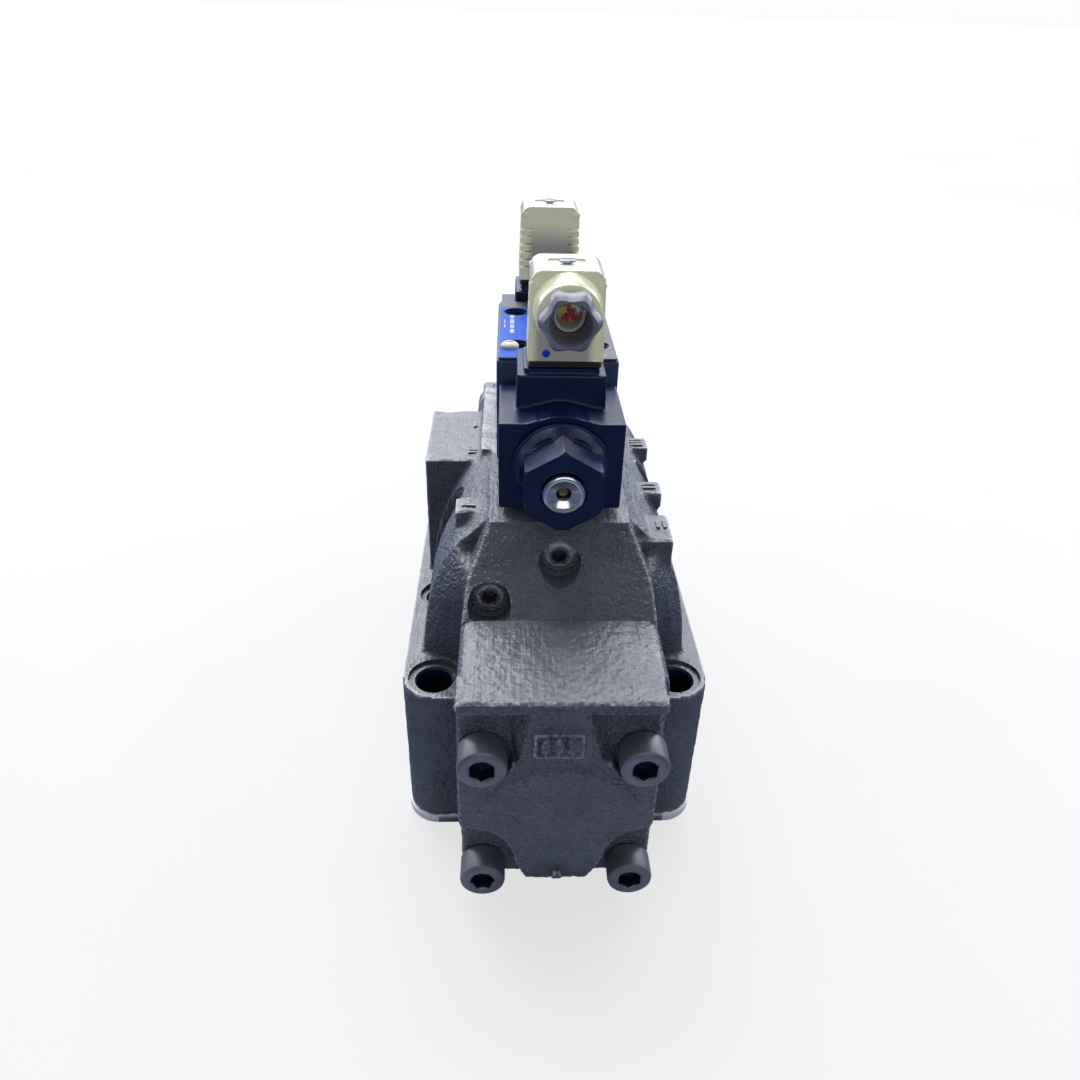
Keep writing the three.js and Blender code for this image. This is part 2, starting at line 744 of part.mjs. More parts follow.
function coreTube() {
  const profile = [
    [armature.rodHole, tubeSeat - gap],
    [tube.radius, tubeSeat - gap],
    [tube.radius, nut.front + nut.lip + gap],
    [tube.boss, nut.front + nut.lip + gap],
    [tube.boss, tube.end + 0.8],
    [tube.boss - 0.8, tube.end],
    [tube.dish, tube.end],
    [pin.hole, tube.dishFloor],
    [pin.hole, tube.endWall],
    [tube.armatureBore, tube.endWall],
    [tube.armatureBore, tube.poleEnd],
    [armature.rodHole, tube.poleEnd],
    [armature.rodHole, tubeSeat - gap],
  ];
  return turned(profile, [0, pilotZ], 16);
}

function armatureShape() {
  const rodEnd = pilotY - pilotSpool.halfLength - gap;
  const profile = [
    [0, armature.outer],
    [armature.radius, armature.outer],
    [armature.radius, armature.inner],
    [armature.rod, armature.inner],
    [armature.rod, rodEnd],
    [0, rodEnd],
  ];
  return turned(profile, [0, pilotZ], 12);
}

function coilNut() {
  let body = rod(nut.flange, [nut.flangeFront, nut.flangeBack], [0, pilotZ], 24);
  body = body.add(hexRod(nut.across, [nut.front, nut.flangeFront], [0, pilotZ], 0));
  body = body.subtract(rod(tube.radius + gap, [nut.front + nut.lip, reach], [0, pilotZ], 16));
  return body.subtract(rod(tube.boss + gap, [-reach, reach], [0, pilotZ], 16));
}

// ---------------------------------------------------------------- one plug connector

function gasketShape() {
  const { halfWidth, halfDepth, border, bottom, top } = gasket;
  const outer = box([-halfWidth, halfWidth], [plugY - halfDepth, plugY + halfDepth], [bottom, top]);
  const innerY = [plugY - halfDepth + border, plugY + halfDepth - border];
  return outer.subtract(box([-halfWidth + border, halfWidth - border], innerY, [0, reach]));
}

function connectorHousing() {
  const { halfWidth, halfDepth, bottom, top, wall, roof, corner } = housing;
  const front = plugY - halfDepth;
  const back = plugY + halfDepth;
  const face = new THREE.Shape();
  face.moveTo(-halfWidth, bottom);
  face.lineTo(halfWidth, bottom);
  face.absarc(halfWidth - corner, top - corner, corner, 0, Math.PI / 2);
  face.absarc(-halfWidth + corner, top - corner, corner, Math.PI / 2, Math.PI);
  let body = prismY(face, [front, back]);
  body = body.add(rod(gland.collar, [gland.collarEnd, front + 1], [0, gland.z], 20));
  const inner = [front + wall, back - wall];
  body = body.subtract(box([-halfWidth + wall, halfWidth - wall], inner, [0, top - roof]));
  body = body.subtract(rod(gland.bore, [-reach, front + wall + 1], [0, gland.z], 16));
  return body.subtract(post(plugScrew.hole, [0, reach], [0, plugY], 10));
}

function terminalInsert() {
  const { halfWidth, halfDepth, bottom, top } = insert;
  let body = box([-halfWidth, halfWidth], [plugY - halfDepth, plugY + halfDepth], [bottom, top]);
  const slotTop = blade.top + 1;
  const slotThin = blade.thickness / 2 + blade.clearance;
  const slotWide = blade.width / 2 + blade.clearance;
  for (const side of [-1, 1]) {
    const across = [side * blade.x - slotThin, side * blade.x + slotThin];
    body = body.subtract(box(across, [plugY - slotWide, plugY + slotWide], [0, slotTop]));
  }
  const earth = [blade.earthY - slotThin, blade.earthY + slotThin];
  body = body.subtract(box([-slotWide, slotWide], earth, [0, slotTop]));
  return body.subtract(post(plugScrew.hole, [0, reach], [0, plugY], 10));
}

function connectorScrew() {
  const { radius, head, top, bottom, slot } = plugScrew;
  let screw = post(radius, [bottom, top - slot], [0, plugY], 10);
  screw = screw.add(post(head, [housing.top + gap, top], [0, plugY], 14));
  const slotAlong = [plugY - slot, plugY + slot];
  return screw.subtract(box([-head - 1, head + 1], slotAlong, [top - slot, reach]));
}

function glandNut() {
  const inside = gland.collarEnd + gland.thread;
  const back = gland.collarEnd - gap;
  let body = hexRod(gland.across, [gland.end, back], [0, gland.z], Math.PI / 6);
  body = body.add(rod(gland.bore - gap, [back - 1, inside], [0, gland.z], 16));
  return body.subtract(rod(sleeve.outer + gap, [-reach, reach], [0, gland.z], 16));
}

function cableSleeve() {
  const outer = rod(sleeve.outer, [sleeve.front, sleeve.back], [0, gland.z], 14);
  return outer.subtract(rod(sleeve.inner, [-reach, reach], [0, gland.z], 14));
}

function solenoidSet(suffix) {
  const set = suffix === "front" ? new THREE.Group() : halfTurnAbout(pilotY);
  const springSpan = [tubeSeat + gap, pilotY - pilotSpool.halfLength - gap];
  const overridePin = rod(pin.radius, [pin.outer, pin.inner], [0, pilotZ], 14);
  set.add(mesh(`coil_${suffix}`, coilShape(), "blackPlastic"));
  set.add(mesh(`core_tube_${suffix}`, coreTube(), "nickel"));
  set.add(mesh(`armature_${suffix}`, armatureShape(), "steel"));
  set.add(mesh(`pilot_spring_${suffix}`, spring(pilotSpring, springSpan, pilotZ), "springSteel"));
  set.add(mesh(`override_pin_${suffix}`, overridePin, "brass"));
  set.add(mesh(`coil_nut_${suffix}`, coilNut(), "blackPlastic"));
  set.add(mesh(`connector_gasket_${suffix}`, offset(gasketShape()), "rubber"));
  set.add(mesh(`connector_housing_${suffix}`, offset(connectorHousing()), "ivoryPlastic"));
  set.add(mesh(`terminal_insert_${suffix}`, offset(terminalInsert()), "greyPlastic"));
  set.add(mesh(`connector_screw_${suffix}`, offset(connectorScrew()), "steel"));
  set.add(mesh(`gland_nut_${suffix}`, offset(glandNut()), "greyPlastic"));
  set.add(mesh(`cable_sleeve_${suffix}`, offset(cableSleeve()), "whitePlastic"));
  return set;
}

// ---------------------------------------------------------------- assembly

const valve = new THREE.Group();
valve.add(mesh("main_body", mainBody(), "castIron"));
valve.add(mesh("main_spool", mainSpoolShape(), "steel"));
for (const port of ports) {
  valve.add(portSeal(port));
}
valve.add(coverSet("front"));
valve.add(coverSet("rear"));
valve.add(mesh("pilot_seal_plate", pilotSealPlate(), "steel"));
valve.add(mesh("pilot_body", pilotBody(), "blackSteel"));
valve.add(mesh("nameplate", nameplate(), "bluePlate"));
pilotBoltPlaces().forEach((place, index) => {
  valve.add(mesh(`pilot_screw_${index + 1}`, pilotScrew(place), "blackSteel"));
});
valve.add(mesh("pilot_spool", pilotSpoolShape(), "steel"));
valve.add(solenoidSet("front"));
valve.add(solenoidSet("rear"));

export default valve;
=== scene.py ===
"""Looks for a two-stage solenoid directional valve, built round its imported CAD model.

Shapes are drawn in millimetres in the model's own frame (X across the valve, Y along both spools,
Z up) and turned into metres when a piece is finished. Each end of the valve is drawn once, as the
front one, and the rear one is the same shape turned half round.
"""

import math

import bmesh
import bpy
from mathutils import Matrix, Vector


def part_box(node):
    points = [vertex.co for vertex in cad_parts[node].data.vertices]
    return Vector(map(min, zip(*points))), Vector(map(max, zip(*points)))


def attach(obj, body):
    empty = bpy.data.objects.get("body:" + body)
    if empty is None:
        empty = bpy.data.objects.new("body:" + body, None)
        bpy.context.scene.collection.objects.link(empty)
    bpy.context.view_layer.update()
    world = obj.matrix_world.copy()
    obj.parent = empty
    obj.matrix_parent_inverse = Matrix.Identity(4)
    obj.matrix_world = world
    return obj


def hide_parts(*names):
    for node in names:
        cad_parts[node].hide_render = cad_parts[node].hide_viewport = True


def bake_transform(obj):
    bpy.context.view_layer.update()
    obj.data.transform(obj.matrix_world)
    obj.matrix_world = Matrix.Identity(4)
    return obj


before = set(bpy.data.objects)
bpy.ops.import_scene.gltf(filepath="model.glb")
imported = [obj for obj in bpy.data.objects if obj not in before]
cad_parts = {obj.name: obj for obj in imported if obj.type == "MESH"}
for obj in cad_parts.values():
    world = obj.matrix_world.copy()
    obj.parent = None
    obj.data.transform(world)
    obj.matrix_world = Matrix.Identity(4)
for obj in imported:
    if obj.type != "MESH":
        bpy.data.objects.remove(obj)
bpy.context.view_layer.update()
scene = bpy.context.scene

MM = 0.001
HOUSING = "valve_body"
GAP = 0.3
FAR = 400

# ---------------------------------------------------------------- sizes, from the CAD nodes


def span(node):
    """A CAD node's extent along X, Y and Z, in millimetres."""
    low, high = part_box(node)
    return [(low[i] / MM, high[i] / MM) for i in range(3)]


def middle(pair):
    return (pair[0] + pair[1]) / 2


BODY = span("main_body")
JOINT_Y = BODY[1][1]
PAD_Z = BODY[2][1]
RIM_STEP = 0.6
RIM_Z = 3.6
FLANGE_X = BODY[0][1] - RIM_STEP
FLANGE_Y = (BODY[1][0] + RIM_STEP, 65)
FLANGE_Z = 68
CORE_X = 34.3
SLOPE_Z = 103.6
PAD_X, PAD_Y = 24.9, 65.7
SHOULDER = (32.8, 113.6)
FLANK_Y = (-62, 43)
FLANK_Z = 118.6
BOLTS = [(-46.05, -77), (46.05, -77), (-46.05, -23.8), (46.05, 0), (-46.05, 53.2), (46.05, 53.2)]
FOOT = FLANGE_Z - 2
CORNER = 12
SPOTFACE, BOLT_BORE, BOLT_MOUTH = 10, 6.75, 7.6
SPOOL_BORE = 15
CHAMBER, CHAMBER_PITCH = 22, 23.8
PORTS = {
    "p": (-28.55, 0),
    "t": (-28.55, -47.6),
    "a": (28.55, -23.8),
    "b": (28.55, 23.8),
    "x": (26.95, -59.5),
    "y": (-27.05, 35.7),
}
# X and Z of each passage plug, the floor of its pocket and the depth of the passage behind it.
PLUGS = [(0, 120, -72.5, 80), (-24.7, 107.5, -80, 16)]

SPOOL_Z = middle(span("main_spool")[2])
COVER = span("cover_front")
COVER_BACK = COVER[1][1]
COVER_FRONT = COVER[1][0]
COVER_FACE = COVER_FRONT + 1.2
PLATE_FRONT = -117.7
THICK_X = (-34.8, 32.4)
BROW_Z = COVER[2][1] - 4.8
LOBE_FOOT, LOBE_TOP, LOBE_DEPTH = 12, 31.4, 6
BORE_FLOOR = -125
RIBS = {-1: ((10.4, 14.1), (17.4, 16.4)), 1: ((7.1, 12.7), (12.6, 16.4))}
HEAD, HEAD_RADIUS = 10, 8.2  # of an M10 cap screw


def screw_place(name):
    """The middle of a cover screw in X and Z, the front of its head and its tip along Y."""
    x, y, z = span(f"cover_screw_front_{name}")
    return middle(x), middle(z), y[0], y[1]


SCREW_NAMES = ("upper_left", "upper_right", "lower_left", "lower_right")
COVER_SCREWS = [screw_place(name) for name in SCREW_NAMES]

PILOT = span("pilot_body")
PILOT_Y = middle(PILOT[1])
PILOT_Z = 149
PILOT_BOLTS = [(15.5 * sx, PILOT_Y + 20.25 * sy) for sx in (-1, 1) for sy in (-1, 1)]
PILOT_PASSAGES = [(x, PILOT_Y + y) for x, y in ((10.4, 1.25), (-10.4, 1.25), (0, -7.55), (0, 9.95))]
PILOT_BOLT_HOLE = 2.8
COIL = span("coil_front")
COIL_TOP = 165.4
NUT = span("coil_nut_front")
TUBE = span("core_tube_front")
HOUSE = span("connector_housing_front")
PLUG_Y = -34.7
TERMINAL_X = 7.4
SCREW_HOLE = 1.8
GLAND_Z = middle(span("gland_nut_front")[2])
COLLAR_END = HOUSE[1][0]
PLUG_X = middle(HOUSE[0])
HOUSE_X = (HOUSE[0][1] - HOUSE[0][0]) / 2
HOUSE_FRONT = PLUG_Y - 11.1
HOUSE_BACK = HOUSE[1][1]


# ---------------------------------------------------------------- outlines


def rounded(x, z, radius, steps=6):
    """A rectangle with rounded corners."""
    corners = [
        (x[1] - radius, z[0] + radius, -90),
        (x[1] - radius, z[1] - radius, 0),
        (x[0] + radius, z[1] - radius, 90),
        (x[0] + radius, z[0] + radius, 180),
    ]
    points = []
    for cx, cz, start in corners:
        for i in range(steps + 1):
            angle = math.radians(start + 90 * i / steps)
            points.append((cx + radius * math.cos(angle), cz + radius * math.sin(angle)))
    return points


def rectangle(x, z):
    return [(x[0], z[0]), (x[1], z[0]), (x[1], z[1]), (x[0], z[1])]


def circle(radius, centre=(0, 0), sides=48, turn=0.0):
    angles = [turn + 2 * math.pi * i / sides for i in range(sides)]
    return [(centre[0] + radius * math.cos(a), centre[1] + radius * math.sin(a)) for a in angles]


def hexagon(across, centre, turn=0.0):
    return circle(across / math.sqrt(3), centre, 6, turn)


def mirrored(points):
    return points + [(-x, z) for x, z in reversed(points)]


def curve(a, b, c, steps):
    """Points along a quadratic curve from a to c that leans towards b."""
    points = []
    for i in range(steps + 1):
        t = i / steps
        points.append(
            tuple(
                (1 - t) ** 2 * a[k] + 2 * t * (1 - t) * b[k] + t**2 * c[k] for k in range(2)
            )
        )
    return points


# ---------------------------------------------------------------- solids


def shape_of(bm):
    bmesh.ops.recalc_face_normals(bm, faces=bm.faces)
    mesh = bpy.data.meshes.new("shape")
    bm.to_mesh(mesh)
    bm.free()
    made = bpy.data.objects.new("shape", mesh)
    scene.collection.objects.link(made)
    return made


def loft(rings, closed=False):
    """Rings of points joined by faces, capped at both ends or joined round to the first ring."""
    bm = bmesh.new()
    made = [[bm.verts.new(point) for point in ring] for ring in rings]
    pairs = list(zip(made, made[1:]))
    if closed:
        pairs.append((made[-1], made[0]))
    else:
        bm.faces.new(made[0])
        bm.faces.new(made[-1])
    for a, b in pairs:
        for i in range(len(a)):
            j = (i + 1) % len(a)
            bm.faces.new((a[i], a[j], b[j], b[i]))
    return shape_of(bm)


def at(axis, point, along):
    """A point of an outline, placed at a distance along an axis."""
    u, v = point
    return {"x": (along, u, v), "y": (u, along, v), "z": (u, v, along)}[axis]


def prism(axis, outline, ends):
    return loft([[at(axis, point, along) for point in outline] for along in ends])


def tapered(axis, outlines):
    """A solid through several outlines, each at its own distance along the axis."""
    return loft([[at(axis, point, along) for point in outline] for along, outline in outlines])


def box(x, y, z):
    return prism("z", rectangle(x, y), z)


def rod(axis, radius, ends, centre, sides=48):
    return prism(axis, circle(radius, centre, sides), ends)


def turned(axis, profile, centre, sides=48, closed=False):
    """A solid of revolution; the profile is a list of (radius, distance along the axis)."""
    rings = []
    for radius, along in profile:
        rings.append([at(axis, point, along) for point in circle(radius, centre, sides)])
    return loft(rings, closed)


def torus(axis, radius, cord, along, centre, sides=64):
    profile = [(radius + a, along + b) for a, b in circle(cord, sides=12)]
    return turned(axis, profile, centre, sides, closed=True)


def hull(points):
    bm = bmesh.new()
    for point in points:
        bm.verts.new(point)
    bmesh.ops.convex_hull(bm, input=bm.verts)
    return shape_of(bm)


def ball(radii, centre, detail=3):
    bm = bmesh.new()
    bmesh.ops.create_icosphere(bm, subdivisions=detail, radius=1)
    bm.transform(Matrix.Translation(centre) @ Matrix.Diagonal((*radii, 1)))
    return shape_of(bm)


def helix(radius, cord, ends, turns, z):
    """A compression spring along Y, with a round wire."""
    steps = int(turns * 28)
    pitch = (ends[1] - ends[0] - 2 * cord) / (turns * 2 * math.pi)
    rings = []
    for i in range(steps + 1):
        angle = turns * 2 * math.pi * i / steps
        outward = Vector((math.cos(angle), 0, math.sin(angle)))
        forward = Vector((-radius * math.sin(angle), pitch, radius * math.cos(angle))).normalized()
        side = outward.cross(forward)
        centre = outward * radius + Vector((0, ends[0] + cord + pitch * angle, z))
        rings.append([centre + outward * u + side * v for u, v in circle(cord, sides=10)])
    return loft(rings)


# ---------------------------------------------------------------- working the solids


def delete(*shapes):
    for shape in shapes:
        bpy.data.objects.remove(shape)


def modified(shape, kind, **settings):
    """The shape with one modifier applied."""
    modifier = shape.modifiers.new(kind, kind)
    for name, value in settings.items():
        setattr(modifier, name, value)
    graph = bpy.context.evaluated_depsgraph_get()
    mesh = bpy.data.meshes.new_from_object(shape.evaluated_get(graph))
    shape.modifiers.clear()
    shape.data = mesh
    return shape


def joined(shapes):
    """Overlapping solids as one object, for remoulding."""
    bm = bmesh.new()
    for shape in shapes:
        bm.from_mesh(shape.data)
    delete(*shapes)
    return shape_of(bm)


def combine(shape, others, operation):
    for other in others:
        modified(shape, "BOOLEAN", operation=operation, solver="MANIFOLD", object=other)
        delete(other)
    return shape


def cut(shape, *others):
    return combine(shape, others, "DIFFERENCE")


def add(shape, *others):
    return combine(shape, others, "UNION")


def moulded(shape, grain, passes):
    """Joins overlapping solids and rounds every edge, as a mould does."""
    modified(shape, "REMESH", mode="VOXEL", voxel_size=grain)
    return modified(shape, "SMOOTH", factor=0.5, iterations=passes)


def lumpy(shape, size, height):
    """Uneven, like a sand-cast skin."""
    texture = bpy.data.textures.new("lumps", "CLOUDS")
    texture.noise_scale = size
    texture.noise_depth = 1
    return modified(shape, "DISPLACE", texture=texture, strength=height, mid_level=0.5)


def bevelled(shape, width, segments=3, angle=0.6):
    return modified(
        shape, "BEVEL", width=width, segments=segments, limit_method="ANGLE", angle_limit=angle
    )


def copied(shape):
    made = bpy.data.objects.new("shape", shape.data.copy())
    scene.collection.objects.link(made)
    return made


def half_turn(y):
    return Matrix.Translation((0, 2 * y, 0)) @ Matrix.Rotation(math.pi, 4, "Z")


def piece(name, shape, slot, keys, body=HOUSING, nodes=None, choose=None, soft=0.6, matrix=None):
    """Finishes a shape as a piece of the model: metres, materials, shading and the body it rides on.

    It stands for the CAD node of its own name, unless nodes says which. choose takes a face's centre
    in millimetres and returns the index of its material.
    """
    mesh = shape.data
    mesh.materials.clear()
    for key in keys.split():
        mesh.materials.append(M[key])
    if choose:
        for face in mesh.polygons:
            face.material_index = choose(face.center)
    else:
        mesh.polygons.foreach_set("material_index", [0] * len(mesh.polygons))
    mesh.transform(Matrix.Scale(MM, 4) @ (matrix or Matrix.Identity(4)))
    mesh.shade_smooth()
    mesh.set_sharp_from_angle(angle=soft)
    shape.name = mesh.name = name
    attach(shape, body)
    nodes = [name] if nodes is None else nodes
    if nodes:
        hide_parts(*nodes)


def both_ends(name, shape, turn_y, slot, keys, body=HOUSING, nodes=None, shift=0, **options):
    """The same shape at the front and, turned half round, at the rear. * in a name is the end."""
    shape.data.transform(Matrix.Translation((shift, 0, 0)))
    for end in ("front", "rear"):
        options["matrix"] = half_turn(turn_y) if end == "rear" else None
        options["nodes"] = nodes and [node.replace("*", end) for node in nodes]
        place = body.replace("*", end)
        piece(name.replace("*", end), copied(shape), slot, keys, place, **options)
    delete(shape)


def on_connector(name, shape, slot, key, **options):
    """A piece that lifts off with each plug connector."""
    both_ends(name, shape, PILOT_Y, slot, key, "connector_group_*", shift=PLUG_X, **options)


# ---------------------------------------------------------------- materials


class Surface:
    """A procedural material: two mottled colours, uneven roughness and a fine bump."""

    def __init__(self, name, light, dark, mottle=120, rough=(0.35, 0.5), **settings):
        self.material = bpy.data.materials.new(name)
        self.material.use_nodes = True
        self.tree = self.material.node_tree
        self.shader = self.tree.nodes["Principled BSDF"]
        self.place = self.node("TexCoord").outputs["Object"]
        self.height = None
        blotches = self.noise(mottle, 5)
        self.colour = self.mix(self.range(blotches, 0.35, 0.65, 0, 1), dark, light)
        self.link(self.colour, self.shader.inputs["Base Color"])
        self.rough = self.range(self.noise(mottle * 2.3, 4), 0.3, 0.7, *rough)
        self.link(self.rough, self.shader.inputs["Roughness"])
        for key, value in settings.items():
            self.shader.inputs[key.replace("_", " ")].default_value = value

    def node(self, kind, **settings):
        made = self.tree.nodes.new("ShaderNode" + kind)
        for key, value in settings.items():
            setattr(made, key, value)
        return made

    def link(self, output, socket):
        if isinstance(output, (int, float)):
            socket.default_value = output
        elif isinstance(output, tuple):
            socket.default_value = (*output, 1)
        else:
            self.tree.links.new(output, socket)

    def noise(self, scale, detail=2.0, stretch=(1, 1, 1)):
        mapping = self.node("Mapping")
        self.link(self.place, mapping.inputs["Vector"])
        mapping.inputs["Scale"].default_value = stretch
        made = self.node("TexNoise")
        self.link(mapping.outputs["Vector"], made.inputs["Vector"])
        made.inputs["Scale"].default_value = scale
        made.inputs["Detail"].default_value = detail
        return made.outputs["Fac"]

    def range(self, value, low, high, to_low, to_high):
        made = self.node("MapRange")
        for socket, item in zip(made.inputs, (value, low, high, to_low, to_high)):
            self.link(item, socket)
        return made.outputs["Result"]

    def maths(self, operation, a, b=0.0):
        made = self.node("Math", operation=operation)
        self.link(a, made.inputs[0])
        self.link(b, made.inputs[1])
        return made.outputs["Value"]

    def mix(self, share, a, b):
        made = self.node("Mix", data_type="RGBA")
        self.link(share, made.inputs["Factor"])
        # Sockets 6 and 7 are the colours A and B of a Mix node, and output 2 is its colour.
        self.link(a, made.inputs[6])
        self.link(b, made.inputs[7])
        return made.outputs[2]

    def recolour(self, share, colour):
        """Mixes another colour in where share is 1."""
        self.colour = self.mix(share, self.colour, colour)
        self.link(self.colour, self.shader.inputs["Base Color"])
        return self

    def reroughen(self, share, value):
        made = self.node("Mix", data_type="FLOAT")
        self.link(share, made.inputs[0])
        self.link(self.rough, made.inputs[2])
        self.link(value, made.inputs[3])
        self.rough = made.outputs[0]
        self.link(self.rough, self.shader.inputs["Roughness"])
        return self

    def bump(self, height, distance, strength=1.0):
        made = self.node("Bump")
        self.link(strength, made.inputs["Strength"])
        made.inputs["Distance"].default_value = distance
        self.link(height, made.inputs["Height"])
        if self.height is not None:
            self.link(self.height, made.inputs["Normal"])
        self.height = made.outputs["Normal"]
        self.link(self.height, self.shader.inputs["Normal"])
        return self

    def axis(self, index):
        """The place along X, Y or Z, in metres."""
        made = self.node("SeparateXYZ")
        self.link(self.place, made.inputs[0])
        return made.outputs[index]

    def edges(self, colour, low=0.53, high=0.6):
        """A painted highlight on sharp edges, or painted shade in hollows where low is above high."""
        sharp = self.node("NewGeometry").outputs["Pointiness"]
        return self.recolour(self.range(sharp, low, high, 0, 1), colour)


def casting_paint():
    """Dark blue-grey paint over rough cast iron, bare on the machined rim at the foot."""
    made = Surface(
        "casting_paint",
        (0.094, 0.103, 0.130),
        (0.066, 0.074, 0.099),
        mottle=70,
        rough=(0.3, 0.46),
        Specular_IOR_Level=0.6,
        Coat_Weight=0.15,
        Coat_Roughness=0.25,
    )
    # Painted highlight: a pale colour on sharp edges, where light catches them.
    made.edges((0.50, 0.51, 0.55), 0.520, 0.575)
    # Painted shade: a dark colour in hollows and pits.
    made.edges((0.03, 0.035, 0.06), 0.475, 0.43)
    # The machined rim at the foot of the flange is bare, with a ragged line of paint above it.
    ragged = made.range(made.noise(260, 4), 0.3, 0.7, -0.0011, 0.0005)
    low = made.range(made.maths("ADD", made.axis(2), ragged), 0.0042, 0.0040, 0, 1)
    on_flange = made.maths("LESS_THAN", made.axis(1), MM * (FLANGE_Y[1] + 1))
    bare = made.maths("MULTIPLY", low, on_flange)
    made.recolour(bare, (0.80, 0.80, 0.80)).reroughen(bare, 0.6)
    painted = made.range(bare, 0, 1, 1, 0.05)
    facing = made.node("SeparateXYZ")
    made.link(made.node("NewGeometry").outputs["Normal"], facing.inputs[0])
    upwards = facing.outputs[2]

    def on_paint(upright, level):
        strength = made.range(upwards, 0.3, 0.95, upright, level)
        return made.maths("MULTIPLY", strength, painted)

    made.bump(made.noise(30, 3, (26, 2, 1)), 0.0004, on_paint(0.2, 0.8))
    made.bump(made.noise(330, 3), 0.0014, on_paint(0.9, 0.35))
    made.bump(made.noise(800, 2), 0.0022, on_paint(0.9, 0.15))
    pits = made.range(made.noise(240, 1), 0.30, 0.24, 0, 1)
    made.bump(made.maths("MULTIPLY", pits, -1.0), 0.0005, made.maths("MULTIPLY", painted, 0.5))
    return made


def bare_metal(name, light, dark, rough, stretch=(1, 1, 1), scale=500, metallic=1.0):
    """Machined metal with fine tool marks along one direction."""
    made = Surface(name, light, dark, mottle=160, rough=rough, Metallic=metallic)
    made.bump(made.noise(scale, 2, stretch), 0.00006, 0.5)
    return made


def plastic(name, light, dark, rough, grain=1400, depth=0.00006, **settings):
    made = Surface(name, light, dark, mottle=90, rough=rough, **settings)
    made.bump(made.noise(grain, 2), depth, 0.5)
    return made


def milky_plastic():
    """Ivory plastic with painted shade below its roof, where the dark insert shows through, and painted
    light that makes it paler at its edges.
    """
    made = plastic(
        "connector_plastic",
        (0.30, 0.30, 0.20),
        (0.23, 0.23, 0.15),
        (0.16, 0.3),
        depth=0.00003,
        Coat_Weight=0.4,
        Coat_Roughness=0.1,
    )
    # Painted shade: darker below the roof and near the middle, where the insert lies behind the plastic.
    low = made.range(made.axis(2), 0.1965, 0.2055, 1, 0)
    beside = made.maths("ABSOLUTE", made.axis(0))
    inner = made.maths("MULTIPLY", low, made.range(beside, 0.0082, 0.0108, 1, 0))
    made.recolour(inner, (0.155, 0.15, 0.145))
    # Painted light: paler towards the edges of the outline, where the surface turns away.
    facing = made.node("LayerWeight")
    facing.inputs["Blend"].default_value = 0.35
    made.recolour(made.range(facing.outputs["Facing"], 0.35, 0.95, 0, 0.6), (0.5, 0.5, 0.37))
    # Light that has spread through the plastic.
    glow = made.mix(inner, (0.26, 0.26, 0.185), (0.11, 0.105, 0.092))
    made.link(glow, made.shader.inputs["Emission Color"])
    made.shader.inputs["Emission Strength"].default_value = 1
    return made


SURFACES = {
    "casting": casting_paint(),
    "machined": bare_metal("machined_iron", (0.50, 0.50, 0.51), (0.36, 0.36, 0.38), (0.34, 0.5)),
    "pilot_iron": bare_metal(
        "pilot_iron", (0.024, 0.052, 0.118), (0.019, 0.043, 0.100), (0.34, 0.42), metallic=0.2
    ),
    "black_steel": bare_metal(
        "black_oxide_steel", (0.150, 0.155, 0.185), (0.115, 0.120, 0.146), (0.32, 0.44), metallic=0.2
    ),
    # Painted shade: near black blue for the screws' hex sockets and the casting's bolt bores.
    "socket": bare_metal(
        "painted_hollow_shade", (0.008, 0.018, 0.050), (0.005, 0.012, 0.038), (0.4, 0.55), metallic=0.2
    ),
    "steel": bare_metal(
        "ground_steel", (0.66, 0.67, 0.69), (0.5, 0.51, 0.53), (0.16, 0.3), (1, 40, 1)
    ),
    "spring": bare_metal("spring_steel", (0.36, 0.38, 0.4), (0.2, 0.21, 0.23), (0.25, 0.4)),
    "nickel": bare_metal("nickel_plate", (0.66, 0.66, 0.67), (0.5, 0.5, 0.52), (0.12, 0.24)),
    "brass": bare_metal("turned_brass", (0.26, 0.21, 0.12), (0.15, 0.12, 0.07), (0.25, 0.4)),
    "tin": bare_metal("tinned_blade", (0.74, 0.73, 0.7), (0.55, 0.54, 0.5), (0.2, 0.34)),
    "coil": plastic(
        "coil_plastic",
        (0.0004, 0.0095, 0.062),
        (0.0003, 0.0078, 0.052),
        (0.26, 0.38),
        Specular_IOR_Level=0.32,
    ),
    "grey_plastic": plastic("gland_plastic", (0.19, 0.20, 0.235), (0.13, 0.138, 0.165), (0.3, 0.42)),
    "white_plastic": plastic("sleeve_plastic", (0.58, 0.56, 0.5), (0.48, 0.45, 0.4), (0.35, 0.5)),
    "insert": plastic("insert_plastic", (0.30, 0.30, 0.31), (0.2, 0.2, 0.215), (0.4, 0.55)),
    "rubber": plastic("nitrile_rubber", (0.022, 0.022, 0.025), (0.012, 0.012, 0.014), (0.55, 0.7)),
    "ivory": milky_plastic(),
    "plate_blue": plastic(
        "plate_blue",
        (0.006, 0.085, 0.52),
        (0.005, 0.065, 0.44),
        (0.45, 0.55),
        depth=0.00002,
        Specular_IOR_Level=0.15,
    ),
    "plate_silver": bare_metal(
        "plate_silver", (0.105, 0.105, 0.11), (0.085, 0.085, 0.09), (0.45, 0.55), (1, 30, 1)
    ),
    "plate_white": plastic("plate_print", (0.34, 0.38, 0.5), (0.28, 0.32, 0.44), (0.35, 0.45)),
    "red": plastic("red_insulation", (0.55, 0.02, 0.02), (0.36, 0.012, 0.015), (0.3, 0.45)),
    "yellow": plastic("yellow_insulation", (0.85, 0.52, 0.03), (0.66, 0.38, 0.02), (0.3, 0.45)),
    "blue_dot": plastic("blue_paint", (0.01, 0.03, 0.75), (0.008, 0.02, 0.55), (0.3, 0.4)),
}
M = {key: surface.material for key, surface in SURFACES.items()}


# ---------------------------------------------------------------- main casting


def flank_profile():
    return curve((51.6, FOOT), (49.5, 102.6), (37.4, FLANK_Z), 10)


